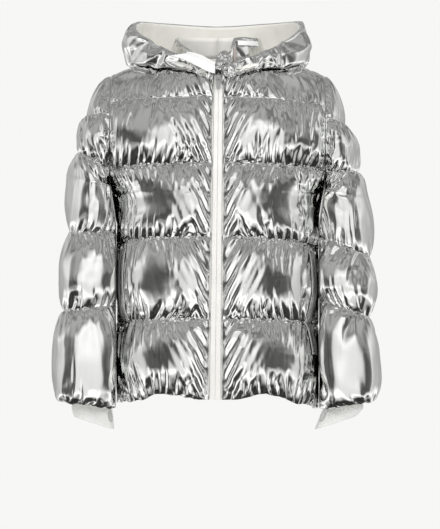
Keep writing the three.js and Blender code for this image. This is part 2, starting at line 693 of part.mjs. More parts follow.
function thumbHole(side) {
  const outline = new THREE.Shape();
  outline.absellipse(0, 0, cuff.thumbHalfWidth, cuff.thumbHalf, 0, 2 * Math.PI);
  const settings = { depth: wrist.halfWidth, bevelEnabled: false, curveSegments: 10 };
  const hole = new THREE.ExtrudeGeometry(outline, settings);
  hole.rotateX(Math.PI / 2);
  hole.rotateZ(-side * radians(cuff.thumbTurn));
  hole.translate(side * (wrist.x - 18), wrist.y - 4, cuff.thumbZ);
  return hole;
}

// Booleans
function solid(geometry) {
  const bare = new THREE.BufferGeometry();
  const source = geometry.index ? geometry.toNonIndexed() : geometry;
  bare.setAttribute("position", source.getAttribute("position"));
  const merged = mergeVertices(bare, 1e-3);
  return new wasm.Manifold(
    new wasm.Mesh({
      numProp: 3,
      vertProperties: new Float32Array(merged.attributes.position.array),
      triVerts: new Uint32Array(merged.index.array),
    }),
  );
}

function fromSolid(made) {
  const mesh = made.getMesh();
  const geometry = new THREE.BufferGeometry();
  const positions = new THREE.BufferAttribute(new Float32Array(mesh.vertProperties), 3);
  geometry.setAttribute("position", positions);
  geometry.setIndex(new THREE.BufferAttribute(new Uint32Array(mesh.triVerts), 1));
  return geometry;
}

const subtract = (a, b) => fromSolid(solid(a).subtract(solid(b)));
const join = (a, b) => fromSolid(solid(a).add(solid(b)));

// A strip along a list of stations, each with its two edge points and the way out of the cloth.
function stripGeometry(stations, wallHeight) {
  const low = stations.map((s) => [s.a, s.b]);
  const high = stations.map((s) => [
    s.a.clone().addScaledVector(s.out, wallHeight),
    s.b.clone().addScaledVector(s.out, wallHeight),
  ]);
  return wallGeometry(high, low, stations.map((_, r) => r));
}

function zipTape(side) {
  const stations = bodyRows.map((level) => {
    const centre = bodyPoint(level, 0, -1, side);
    const y = centre.y - zip.tapeSink;
    const z = centre.z;
    const inner = zipX(z) + (side * seamGap) / 2;
    const outer = zipX(z) + side * (halfBand(z) - seamGap / 2);
    return { a: vec(inner, y, z), b: vec(outer, y, z), out: vec(0, -1, 0) };
  });
  return stripGeometry(stations, zip.tapeWall);
}

// A pocket zip lies on the outside of a front, along one column of its channels.
function pocketZipStrip(front, fromLevel, toLevel) {
  const grid = bodyGrids[front];
  const column = pocketZip.column;
  const stations = [];
  bodyRows.forEach((level, r) => {
    if (level < fromLevel - touching || level > toLevel + touching) return;
    const [a, b] = [grid[r][column], grid[r][column + 1]];
    const along = b.clone().sub(a);
    const up = grid[r + 1][column].clone().sub(grid[r - 1][column]);
    const out = along.clone().cross(up).normalize();
    if (out.dot(bodyOutwards(a)) < 0) out.negate();
    const share = Math.min(0.9, pocketZip.width / along.length());
    const start = a.clone().addScaledVector(out, pocketZip.lift);
    const end = a.clone().addScaledVector(along, share).addScaledVector(out, pocketZip.lift);
    stations.push({ a: start, b: end, out });
  });
  return stripGeometry(stations, pocketZip.wall);
}

// Slider with its bail, and the pull tab that swings on it. Both are drawn upright and then set
// on the sloping face of the tape.
function outlineShape(points) {
  const shape = new THREE.Shape();
  points.forEach(([x, y], i) => (i ? shape.lineTo(x, y) : shape.moveTo(x, y)));
  shape.closePath();
  return shape;
}

function sliderGeometry() {
  const [half, end] = [slider.width / 2, slider.length / 2];
  const plate = new THREE.ExtrudeGeometry(
    outlineShape([
      [-half * 0.7, end],
      [-half, end * 0.2],
      [-half * 0.85, -end],
      [half * 0.85, -end],
      [half, end * 0.2],
      [half * 0.7, end],
    ]),
    { depth: slider.wall, bevelEnabled: false },
  );
  plate.rotateX(Math.PI / 2);
  const [reach, arm] = [bail.room + bail.wall, slider.length * 0.36];
  const foot = arm - bail.wall;
  const loop = new THREE.ExtrudeGeometry(
    outlineShape([
      [-arm, -0.5],
      [-arm, reach * 0.7],
      [-arm * 0.7, reach],
      [arm * 0.7, reach],
      [arm, reach * 0.7],
      [arm, -0.5],
      [foot, -0.5],
      [foot, bail.room],
      [-foot, bail.room],
      [-foot, -0.5],
    ]),
    { depth: bail.width, bevelEnabled: false },
  );
  loop.translate(0, slider.wall, -bail.width / 2);
  loop.applyMatrix4(new THREE.Matrix4().makeBasis(vec(0, 0, 1), vec(0, -1, 0), vec(1, 0, 0)));
  return join(plate, loop);
}

// The tab's own origin is on the axis that it swings about, the bar above its eye.
function pullGeometry() {
  const bar = pull.wall / 2;
  const shape = outlineShape([
    [-pull.headHalf, bar],
    [-pull.headHalf, -bar - pull.eyeLength - 1.5],
    [-pull.tipHalf, -pull.length * 0.55],
    [-pull.tipHalf, -pull.length + 2],
    [-pull.tipHalf + 2, -pull.length],
    [pull.tipHalf - 2, -pull.length],
    [pull.tipHalf, -pull.length + 2],
    [pull.tipHalf, -pull.length * 0.55],
    [pull.headHalf, -bar - pull.eyeLength - 1.5],
    [pull.headHalf, bar],
  ]);
  const eye = [
    [-pull.eyeHalf, -bar],
    [pull.eyeHalf, -bar],
    [pull.eyeHalf, -bar - pull.eyeLength],
    [-pull.eyeHalf, -bar - pull.eyeLength],
  ];
  shape.holes.push(new THREE.Path(eye.map(([x, y]) => new THREE.Vector2(x, y))));
  const tab = new THREE.ExtrudeGeometry(shape, { depth: pull.wall, bevelEnabled: false });
  return tab.translate(0, 0, -pull.wall / 2).rotateX(Math.PI / 2);
}

function sliderPlace() {
  const [above, below] = [topLevel, 4].map((level) => bodyPoint(level, 0, -1, -1));
  const share = (slider.centreZ - below.z) / (above.z - below.z);
  const tilt = Math.atan2(below.y - above.y, above.z - below.z);
  const face = zip.tapeSink + zip.tapeWall + seamGap;
  return {
    tilt,
    position: vec(zipX(slider.centreZ), mix(below.y, above.y, share) - face, slider.centreZ),
  };
}

const group = new THREE.Group();
function add(name, geometry, material) {
  const mesh = new THREE.Mesh(geometry, material);
  mesh.name = name;
  group.add(mesh);
  return mesh;
}

for (const [name, side] of [["right", -1], ["left", 1]]) {
  bodyMeshes.push(add(`front_${name}`, bodyFront(`front_${name}`, side), foil));
}
bodyMeshes.push(add("back", bodyBack("back"), foil));
for (const [name, side] of [["right", -1], ["left", 1]]) {
  add(`sleeve_${name}`, sleeve(side), foil);
  add(`cuff_${name}`, cuffTube(side), knit);
  add(`collar_${name}`, collarHalf(side), foil);
  add(`zip_tape_${name}`, zipTape(side), zipTapeWhite);
}
add("pocket_zip_right", pocketZipStrip("front_right", 1, 1.9), zipTapeWhite);
add("pocket_zip_left", pocketZipStrip("front_left", 0.6, 1.9), zipTapeWhite);
add("hood_shell", hoodShell(), foil);
add("hood_lining", hoodLining(), liningCloth);

const place = sliderPlace();
const sliderMount = new THREE.Group();
sliderMount.position.copy(place.position);
sliderMount.rotation.x = place.tilt;
group.add(sliderMount);
for (const [name, geometry, out] of [
  ["slider", sliderGeometry(), 0],
  ["pull_tab", pullGeometry(), slider.wall + bail.room / 2],
]) {
  const mesh = new THREE.Mesh(geometry, chrome);
  mesh.name = name;
  mesh.position.y = -out;
  sliderMount.add(mesh);
}

export default group;
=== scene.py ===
# Mirror-silver hooded puffer jacket, worn form. Positions are worked out in millimetres in the
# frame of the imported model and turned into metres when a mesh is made.
import bpy
import bmesh
import math
import numpy as np
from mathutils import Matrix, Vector
from mathutils.bvhtree import BVHTree


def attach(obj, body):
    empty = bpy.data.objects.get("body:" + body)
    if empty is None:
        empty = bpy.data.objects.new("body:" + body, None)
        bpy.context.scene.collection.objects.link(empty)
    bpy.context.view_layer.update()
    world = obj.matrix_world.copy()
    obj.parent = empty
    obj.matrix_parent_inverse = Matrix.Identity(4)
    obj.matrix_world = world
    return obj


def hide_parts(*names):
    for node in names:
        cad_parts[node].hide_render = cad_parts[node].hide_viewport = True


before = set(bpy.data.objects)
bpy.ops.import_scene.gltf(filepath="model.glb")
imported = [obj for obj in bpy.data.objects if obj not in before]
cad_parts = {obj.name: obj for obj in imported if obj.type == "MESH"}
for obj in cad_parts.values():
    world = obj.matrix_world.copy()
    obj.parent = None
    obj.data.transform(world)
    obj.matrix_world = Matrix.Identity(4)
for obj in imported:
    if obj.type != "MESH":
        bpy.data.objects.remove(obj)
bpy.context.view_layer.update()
print("frame loaded:", len(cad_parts), "nodes")


# numbers and tables
def mix(a, b, t):
    return a + (b - a) * t


def clamp(t, low=0.0, high=1.0):
    return min(high, max(low, t))


def smooth(t):
    t = clamp(t)
    return t * t * (3 - 2 * t)


def smoothGrid(t):
    t = np.clip(t, 0, 1)
    return t * t * (3 - 2 * t)


def throughFour(a, b, c, d, t):
    return b + 0.5 * t * (c - a + t * (2 * a - 5 * b + 4 * c - d + t * (3 * (b - c) + d - a)))


def splineValue(table, key, at):
    last = len(table) - 1
    i = min(last - 1, max(0, int(math.floor(at))))
    a, b, c, d = (table[min(last, max(0, k))][key] for k in (i - 1, i, i + 1, i + 2))
    return throughFour(a, b, c, d, at - i)


def rowAtAngle(table, degrees):
    if degrees <= table[0]["at"]:
        return 0.0
    for k in range(1, len(table)):
        if table[k]["at"] >= degrees:
            low, high = table[k - 1]["at"], table[k]["at"]
            return k - 1 + (degrees - low) / (high - low)
    return len(table) - 1.0


def vec(x, y, z):
    return np.array([x, y, z], dtype=float)


def noiseField(shape, cells, seed):
    # smooth random values between about -1 and 1 over a grid
    local = np.random.default_rng(seed)
    coarse = local.uniform(-1, 1, (max(2, cells[0]) + 3, max(2, cells[1]) + 3))
    rows = np.linspace(1, coarse.shape[0] - 2.001, shape[0])
    cols = np.linspace(1, coarse.shape[1] - 2.001, shape[1])

    def along(values, at):
        i = np.floor(at).astype(int)
        t = (at - i)[:, None]
        a, b, c, d = (values[np.clip(i + k, 0, len(values) - 1)] for k in (-1, 0, 1, 2))
        return throughFour(a, b, c, d, t)

    return along(along(coarse, rows).T, cols).T


# the jacket's form: sizes as in the part's source
form = {
    "seamGap": 0.3,
    "seamWall": 3.6,
    "sideSeamY": 4,
    "armpitShare": 0.65,
    "neckShare": 0.5,
    "shoulderArch": 5,
    "shoulderSwell": 11,
    "rowBulge": 0.86,
    "rowDrop": 1.6,
    "archReach": 0.6,
    "chestTurn": 1.05,
    "chestFrom": 2.1,
    "chestOver": 0.55,
}
zipLine = {"topZ": -11, "topX": 2, "hemX": -4.5, "topHalfBand": 8, "hemHalfBand": 10.6,
           "tapeSink": 0.9}
neck = {"halfWidth": 80, "y": 2, "front": 102, "back": 68, "sideZ": 16, "frontDip": 30, "backRise": 8}
armhole = {"x": 198, "y": 2, "z": -116, "half": 100, "front": 72, "back": 76}
bodyLevels = [
    {"z": -606, "dropRight": 8, "dropLeft": 20, "halfWidth": 176, "front": 134, "back": 124, "arch": 12},
    {"z": -460, "dropRight": 7, "dropLeft": 13, "halfWidth": 173, "front": 131, "back": 119, "arch": 0},
    {"z": -310, "dropRight": 10, "dropLeft": 25, "halfWidth": 174, "front": 127, "back": 114, "arch": 0},
    {"z": -175, "dropRight": 12, "dropLeft": 13, "front": 119, "back": 109, "arch": 0},
    {"z": -54, "dropRight": 10, "dropLeft": 18, "front": 106, "back": 96, "arch": 0},
]
sleeveKeys = ("outerX", "outerZ", "innerX", "innerZ", "y", "halfDepth", "turn")
sleeveLevels = {
    -1: [dict(zip(sleeveKeys, row)) for row in (
        (290, -610, 190, -624, -38, 62, 0),
        (279, -446, 191, -436, -24, 64, 0),
        (268, -304, 191, -312, -10, 68, 0),
        (252, -152, 186, -186, 0, 72, 0.75),
        (236, -86, 158, -84, 1, 69, 1.45),
    )],
    1: [dict(zip(sleeveKeys, row)) for row in (
        (284, -610, 190, -624, -38, 62, 0),
        (274, -458, 191, -424, -24, 64, 0),
        (275, -350, 191, -318, -12, 68, 0),
        (254, -190, 186, -188, 0, 72, 0.75),
        (229, -104, 158, -90, 1, 69, 1.45),
    )],
}
sleeveCap = {"swell": 6, "topTurn": 0.62}
wrist = {"x": 231, "y": -42, "halfWidth": 37, "halfDepth": 29, "z": -602}
armpitLevel = 2 + form["armpitShare"]
topLevel = 5


def zipShare(z):
    return clamp((z - zipLine["topZ"]) / (bodyLevels[0]["z"] - zipLine["topZ"]))


def zipX(z):
    return mix(zipLine["topX"], zipLine["hemX"], zipShare(z))


def halfBand(z):
    return mix(zipLine["topHalfBand"], zipLine["hemHalfBand"], zipShare(z))


def neckPoint(angle):
    front = math.cos(angle)
    reach = neck["front"] if front > 0 else neck["back"]
    lift = -neck["frontDip"] if front > 0 else neck["backRise"]
    return vec(neck["halfWidth"] * math.sin(angle), neck["y"] - reach * front,
               neck["sideZ"] + lift * front ** 2)


def zipAngleOf(side):
    z = zipLine["topZ"]
    return math.asin((halfBand(z) + side * zipX(z)) / neck["halfWidth"])


def armholePoint(angle, face, side):
    reach = armhole["front"] if face < 0 else armhole["back"]
    return vec(side * armhole["x"], armhole["y"] + face * reach * math.sin(angle),
               armhole["z"] - armhole["half"] * math.cos(angle))


def armholeAngle(z):
    return math.acos(clamp((armhole["z"] - z) / armhole["half"], -1, 1))


def sideZ(k, side):
    return bodyLevels[k]["z"] - bodyLevels[k]["dropRight" if side < 0 else "dropLeft"]


def edgePoint(level, face, side):
    k = min(4, int(math.floor(level)))
    t = level - k
    armpit = armholePoint(0, -1, side)

    def seam(i, share, toX, toZ):
        return vec(side * mix(bodyLevels[i]["halfWidth"], toX, share), form["sideSeamY"],
                   mix(sideZ(i, side), toZ, share))

    if k < 2:
        return seam(k, t, bodyLevels[k + 1]["halfWidth"], sideZ(k + 1, side))
    share = t / form["armpitShare"]
    if k == 2 and share <= 1:
        point = seam(2, share ** 4, armhole["x"], armpit[2])
        point[2] = mix(sideZ(2, side), armpit[2], share)
        point[1] = mix(form["sideSeamY"], armhole["y"], share)
        return point
    low = 0 if k == 2 else armholeAngle(sideZ(k, side))
    high = math.pi if k == 4 else armholeAngle(sideZ(min(4, k + 1), side))
    share = (t - form["armpitShare"]) / (1 - form["armpitShare"]) if k == 2 else t
    return armholePoint(mix(low, high, share), face, side)


def rowPoint(level, across, face, side):
    depth = splineValue(bodyLevels, "front" if face < 0 else "back", min(level, 4))
    k = min(3, int(math.floor(level)))
    t = min(level, 4) - k
    centreZ = mix(bodyLevels[k]["z"], bodyLevels[k + 1]["z"], t)
    arch = mix(bodyLevels[k]["arch"], bodyLevels[k + 1]["arch"], t)
    edge = edgePoint(level, face, side)
    startX = zipX(centreZ) + side * (halfBand(centreZ) + form["seamGap"] / 2) if face < 0 else 0
    turn = mix(math.pi / 2, form["chestTurn"], smooth((level - form["chestFrom"]) / form["chestOver"]))
    bulge = form["rowBulge"]
    outwards = (math.sin(turn * across) / math.sin(turn)) ** bulge
    low = max(0.0, math.cos(turn * across)) ** bulge
    roundShare = (1 - low) / (1 - max(0.0, math.cos(turn)) ** bulge)
    return vec(
        mix(startX, edge[0], outwards),
        mix(face * depth, edge[1], roundShare),
        mix(centreZ, edge[2], across ** form["rowDrop"])
        + arch * math.sin(math.pi * min(1, across / form["archReach"])) ** 2,
    )


def topPoint(across, face, side):
    if across <= form["neckShare"]:
        centre = zipAngleOf(side) if face < 0 else math.pi
        return neckPoint(side * mix(centre, math.pi / 2, across / form["neckShare"]))
    share = (across - form["neckShare"]) / (1 - form["neckShare"])
    start, end = neckPoint(side * math.pi / 2), armholePoint(math.pi, -1, side)
    return mix(start, end, share) + vec(0, 0, form["shoulderArch"] * math.sin(math.pi * share))


def bodyPoint(level, across, face, side):
    if level <= 4:
        return rowPoint(level, across, face, side)
    t = level - 4
    point = mix(rowPoint(4, across, face, side), topPoint(across, face, side), t)
    straight = mix(edgePoint(4, face, side), topPoint(1, face, side), t)
    point = point + (edgePoint(level, face, side) - straight) * across ** 3
    swell = form["shoulderSwell"] * 4 * t * (1 - t) * smooth(across / 0.5) * (1 - across ** 3)
    return point + vec(0, face * 0.55 * swell, 0.8 * swell)


def sleeveEdgeAngle(level, side):
    if level <= armpitLevel:
        return 0.0
    low, high = (armholeAngle(sleeveLevels[side][k]["innerZ"]) for k in (3, 4))
    if level < 3:
        return low * (level - armpitLevel) / (1 - form["armpitShare"])
    if level < 4:
        return mix(low, high, level - 3)
    return mix(high, math.pi - sleeveCap["topTurn"], level - 4)


def sleeveRing(level, share, side):
    table = sleeveLevels[side]
    outerX, outerZ, innerX, innerZ, y, depth = (
        splineValue(table, key, min(4, level)) for key in sleeveKeys[:6])
    opening = clamp((level - armpitLevel) / (1 - form["armpitShare"]))
    turn = table[3]["turn"] * opening if level < 3 else splineValue(table, "turn", min(4, level))
    angle = mix(turn, 2 * math.pi - turn, share)
    out = 0.5 - 0.5 * math.cos(angle)
    return vec(side * mix(innerX, outerX, out), y - depth * math.sin(angle), mix(innerZ, outerZ, out))


def sleevePoint(level, share, side):
    face = -1 if share < 0.5 else 1

    def edge(f):
        return armholePoint(sleeveEdgeAngle(level, side), f, side)

    if level <= 4:
        pull = smooth((level - 1.8) / (0.2 + form["armpitShare"]))
        point = sleeveRing(level, share, side)
        if pull > 0:
            point = point + pull * ((edge(-1) - sleeveRing(level, 0, side)) * (1 - share) ** 3
                                    + (edge(1) - sleeveRing(level, 1, side)) * share ** 3)
        return point
    t = level - 4
    topTurn = sleeveCap["topTurn"]
    top = armholePoint(math.pi - topTurn * abs(1 - 2 * share), face, side)
    point = mix(sleevePoint(4, share, side), top, t)
    for f, s, weight in ((-1, 0, (1 - share) ** 3), (1, 1, share ** 3)):
        start = mix(sleevePoint(4, s, side), armholePoint(math.pi - topTurn, f, side), t)
        point = point + (edge(f) - start) * weight
    swell = sleeveCap["swell"] * 4 * t * (1 - t) * math.sin(math.pi * share)
    return point + vec(side * 0.5 * swell, 0, 0.86 * swell)


# grids
def gridNormals(grid, outwards):
    along = np.empty_like(grid)
    along[:, 1:-1] = grid[:, 2:] - grid[:, :-2]
    along[:, 0], along[:, -1] = grid[:, 1] - grid[:, 0], grid[:, -1] - grid[:, -2]
    up = np.empty_like(grid)
    up[1:-1] = grid[2:] - grid[:-2]
    up[0], up[-1] = grid[1] - grid[0], grid[-1] - grid[-2]
    normal = np.cross(along, up)
    normal /= np.maximum(np.linalg.norm(normal, axis=2, keepdims=True), 1e-9)
    wrong = np.sum(normal * outwards, axis=2) < 0
    normal[wrong] *= -1
    return normal


def upsample(grid):
    # twice as many cells each way, on the smooth surface through the same points
    def once(values):
        padded = np.concatenate([2 * values[:1] - values[1:2], values, 2 * values[-1:] - values[-2:-1]])
        middle = (9 * (values[:-1] + values[1:]) - padded[:-3] - padded[3:]) / 16
        out = np.empty((2 * len(values) - 1,) + values.shape[1:])
        out[::2], out[1::2] = values, middle
        return out
    return once(once(grid).swapaxes(0, 1)).swapaxes(0, 1)


def gridQuads(rows, columns):
    index = np.arange(rows * columns).reshape(rows, columns)
    return np.stack([index[:-1, :-1], index[:-1, 1:], index[1:, 1:], index[1:, :-1]], axis=2)


def placed(name, data):
    obj = bpy.data.objects.new(name, data)
    bpy.context.scene.collection.objects.link(obj)
    return obj


def meshPiece(name, points, faces, uv=None, slots=None, joined=2e-5):
    # points in millimetres; doubles are joined, loose points go, and every face looks outwards
    mesh = bpy.data.meshes.new(name)
    mesh.from_pydata((points * 0.001).tolist(), [], faces)
    if slots is not None:
        mesh.polygons.foreach_set("material_index", slots)
    if joined:
        layer = mesh.uv_layers.new(name="quilt")
    if uv is not None:
        corners = np.empty(len(mesh.loops), int)
        mesh.loops.foreach_get("vertex_index", corners)
        layer.data.foreach_set("uv", uv[corners].ravel())
    work = bmesh.new()
    work.from_mesh(mesh)
    if joined:
        bmesh.ops.delete(work, geom=[v for v in work.verts if not v.link_faces], context="VERTS")
        bmesh.ops.remove_doubles(work, verts=work.verts, dist=joined)
    bmesh.ops.recalc_face_normals(work, faces=work.faces)
    work.to_mesh(mesh)
    work.free()
    mesh.polygons.foreach_set("use_smooth", [True] * len(mesh.polygons))
    return placed(name, mesh)


def levelRows(cells):
    # rows stand closer together near the seams, and one lies at the armpit
    levels = []
    for k in range(topLevel):
        for i in range(cells[k]):
            levels.append(k + 0.5 - 0.5 * math.cos(math.pi * i / cells[k]))
    levels.append(float(topLevel))
    levels = np.array(levels)
    levels[np.argmin(np.abs(levels - armpitLevel))] = armpitLevel
    return levels


def channelHeight(level):
    t = level - min(topLevel - 1, math.floor(level))
    return (4 * t * (1 - t)) ** 0.6


def roundFade(distance):
    return math.sqrt(1 - (1 - clamp(distance)) ** 2)


def isArmhole(level):
    return level > armpitLevel - 1e-6


def isTop(level):
    return level > topLevel - 1e-6


def unitRows(grid):
    return grid / np.maximum(np.linalg.norm(grid, axis=-1, keepdims=True), 1e-9)


# below the armhole, body and sleeve each stay on their own side of this line
divider = {"lowX": 187, "over": 74, "openOver": 25, "gap": 0.5, "sleeveDrop": 5}


def dividerX(z):
    low = np.clip((armhole["z"] - armhole["half"] - z) / divider["over"], 0, 1)
    return low * (divider["lowX"] - armhole["x"]) + armhole["x"]


def besideArmhole(z):
    return 1 - np.clip((armhole["z"] - armhole["half"] - z) / divider["openOver"], 0, 1)


def keepInside(grid):
    z = grid[..., 2]
    limit = dividerX(z - divider["sleeveDrop"]) - mix(divider["gap"], form["seamGap"] / 2, besideArmhole(z))
    grid[..., 0] = np.sign(grid[..., 0]) * np.minimum(np.abs(grid[..., 0]), limit)


def keepOutside(grid, wall=0.0):
    z = grid[..., 2]
    beside = besideArmhole(z)
    gap = divider["gap"]
    limit = dividerX(z) + gap + (form["seamGap"] / 2 - gap) * beside + wall * (1 - beside)
    grid[..., 0] = np.sign(grid[..., 0]) * np.maximum(np.abs(grid[..., 0]), limit)


# padded panels: the plain inside, and the outside as it starts before the down fills it
paddedBody = {"cells": (28, 28, 26, 24, 18), "frontColumns": 72, "backColumns": 144, "pressedSide": 0.9,
              "pressedFrom": 0.66, "pressedOver": 0.24, "sideRound": 0.16, "zipRound": 0.12, "armFrom": 0.78,
              "topShare": 0.6, "topFall": 0.25,
              "puff": 14.0, "cap": 10.0, "toArm": 8.0, "excess": 0.03, "dotsOut": (4, 1), "dents": 0.5}
paddedSleeve = {"cells": (28, 28, 26, 24, 16), "columns": 124, "pressedSide": 0.9, "pressedOver": 0.25,
                "seamRound": 0.2, "capShare": 0.45, "boxedBelow": 2.6, "middleX": (195, 240), "middleY": -38,
                "puff": 9.0, "cap": 9.0, "excess": 0.055, "boxed": 11.0, "dotsOut": (5, 5), "dents": 1.7}
pleats = {"spacing": 16.0, "height": 3.6, "shortest": 14.0, "longest": 84.0, "lean": 0.5, "zipReach": 84.0,
          "leadEvery": 60.0, "endsFrom": 0.15, "leadReach": 0.55, "endsOver": 0.35, "seamHold": 3.5,
          "clearOfZip": 18.0, "clearOver": 50.0, "byChannel": (1.1, 1.1, 1.0, 0.8, 0.5)}
zipPleat = {"topZ": 40.0, "slant": 1.9, "spread": 2.1, "length": 760, "start": 5.0}
panels = {}
panelNames = ("front_right", "front_left", "back", "sleeve_right", "sleeve_left")


def pleatLine(length, seed):
    # alternating crests and troughs along a seam, and how far each runs out from it
    local = np.random.default_rng(seed)
    steps = pleats["spacing"] / 2 * local.uniform(0.55, 1.5, int(length / pleats["spacing"] * 3) + 8)
    knots = np.cumsum(steps) - 20
    height = np.where(np.arange(len(knots)) % 2, -1, 1) * local.uniform(0.35, 1.0, len(knots))
    reach = mix(pleats["shortest"], pleats["longest"], local.uniform(0, 1, len(knots)) ** 1.6)
    lean = np.interp(knots, np.linspace(-20, length + 20, 9), local.uniform(-1, 1, 9)) * pleats["lean"]
    return knots, height, reach, lean


def betweenKnots(knots, at):
    i = np.clip(np.searchsorted(knots, at) - 1, 0, len(knots) - 2)
    return i, np.clip((at - knots[i]) / (knots[i + 1] - knots[i]), 0, 1)


def readPleats(line, along, distance):
    knots, height, reach, lean = line
    i, t = betweenKnots(knots, along - np.interp(along, knots, lean) * distance)
    t = 0.5 * t + 0.5 * t * t * (3 - 2 * t)
    value = height[i] * (1 - t) + height[i + 1] * t
    far = reach[i] * (1 - t) + reach[i + 1] * t
    return value * np.exp(-(distance / far) ** 2) * (1 - np.exp(-distance / pleats["seamHold"]))


def lengthAlong(grid):
    steps = np.linalg.norm(np.diff(grid, axis=1), axis=2)
    return np.concatenate([np.zeros((len(grid), 1)), np.cumsum(steps, axis=1)], axis=1)


def seamPleats(panel, seed):
    # height of the pleats that run out from every quilting seam into the channels beside it
    grid, levels = panel["start"], panel["levels"]
    along = lengthAlong(grid)
    climb = np.concatenate([[0], np.cumsum(np.linalg.norm(np.diff(grid, axis=0), axis=2).mean(axis=1))])
    seams = panel.get("seams") or [int(np.argmin(np.abs(levels - k))) for k in range(topLevel + 1)]
    out = np.zeros(grid.shape[:2])
    length = along.max()
    for k in range(len(seams) - 1):
        low, high = seams[k], seams[k + 1]
        rows = slice(low, high + 1)
        tall = climb[high] - climb[low]
        # at each place the pleats of one seam run further, so the two rows don't cross
        lead = noiseField((2, grid.shape[1]), (1, int(length / pleats["leadEvery"])), seed * 10 + k)[0]
        lead = np.clip(0.5 + 0.9 * lead, 0, 1)
        for seam, shift, share in ((low, 0, lead), (high, 50, 1 - lead)):
            line = pleatLine(length, seed * 100 + k * 2 + shift)
            distance = np.abs(climb[rows] - climb[seam])[:, None]
            ends = distance / tall - pleats["endsFrom"] - pleats["leadReach"] * share[None]
            ends = 1 - smoothGrid(ends / pleats["endsOver"])
            out[rows] += readPleats(line, along[rows], distance) * ends * (
                pleats["byChannel"][k] if topLevel == len(seams) - 1 else 1)
    return out * pleats["height"]


def zipPleats(panel, seed):
    # slanting pleats that run down to the zip and die out across the front
    grid = panel["start"]
    distance = lengthAlong(grid)
    phase = (grid[..., 2] - zipPleat["topZ"] - zipPleat["slant"] * distance) / zipPleat["spread"]
    knots, height, reach, _ = pleatLine(zipPleat["length"], seed)
    i, t = betweenKnots(knots, -phase)
    t = t * t * (3 - 2 * t)
    value = height[i] * (1 - t) + height[i + 1] * t
    far = mix(0.4, 1.0, (reach[i] - pleats["shortest"]) / (pleats["longest"] - pleats["shortest"]))
    return pleats["height"] * value * np.exp(-(distance / (far * pleats["zipReach"])) ** 2) * (
        1 - np.exp(-distance / zipPleat["start"]))


def bodyPanel(name, face, side, columns):
    levels = levelRows(paddedBody["cells"])
    shares = np.linspace(0, 1, columns + 1)
    across = shares if face < 0 else np.abs(2 * shares - 1)
    sides = np.full(columns + 1, side) if face < 0 else np.where(shares < 0.5, -1, 1)
    inner = np.array([[bodyPoint(level, a, face, s) for a, s in zip(across, sides)] for level in levels])
    outwards = inner.copy()
    outwards[..., 1] *= 1.4
    outwards[..., 2] = np.maximum(0, (inner[..., 2] + 60) * 1.5)
    normal = gridNormals(inner, outwards)
    fade = np.zeros(inner.shape[:2])
    for r, level in enumerate(levels):
        for c, a in enumerate(across):
            pressed = 1 if isArmhole(level) else mix(1, paddedBody["pressedSide"], smooth(
                (a - paddedBody["pressedFrom"]) / paddedBody["pressedOver"]))
            cap = paddedBody["topShare"] - paddedBody["topFall"] * a if level > 4 else 1
            fade[r, c] = roundFade((1 - a) / paddedBody["sideRound"]) * pressed * cap
            if face < 0:
                fade[r, c] *= roundFade(a / paddedBody["zipRound"])
            if isArmhole(level):
                normal[r, c, 0] *= 1 - a ** 2
            if isTop(level) and a <= form["neckShare"] + 1e-6:
                normal[r, c] = (inner[r, c, 0], inner[r, c, 1] - neck["y"], 0)
            elif isTop(level):
                normal[r, c, 1] = 0
            if a > 1 - 1e-6:
                normal[r, c, 0 if isArmhole(level) else 1] = 0
            if face < 0 and a < 1e-6:
                normal[r, c, 0] = 0
    normal = unitRows(normal)
    shift = np.zeros_like(inner)
    half = form["seamGap"] / 2
    for r, level in enumerate(levels):
        for c, a in enumerate(across):
            onSide = a > 1 - 1e-6
            if onSide and isArmhole(level):
                shift[r, c, 0] = -sides[c] * half
            if (isTop(level) and a > form["neckShare"]) or (onSide and level < armpitLevel + 1e-6):
                shift[r, c, 1] = face * half
    height = np.array([channelHeight(level) for level in levels])[:, None] * fade
    outer = inner + shift + normal * (form["seamWall"] + paddedBody["puff"] * height)[..., None]
    # the arms rest against the sides, so no light shows between
    armFrom = paddedBody["armFrom"]
    full = smoothGrid((across - armFrom) / (1 - armFrom))[None, :]
    full = full * np.clip((armpitLevel - levels) * 2.5, 0, 1)[:, None]
    outer[..., 0] += sides[None, :] * paddedBody["toArm"] * full
    inner = inner + shift
    keepInside(inner)
    keepInside(outer)
    panels[name] = {"levels": levels, "inner": inner, "start": outer, "normal": normal,
                    "fade": fade, "joinedRow": -1, "limit": keepInside, "puff": paddedBody}


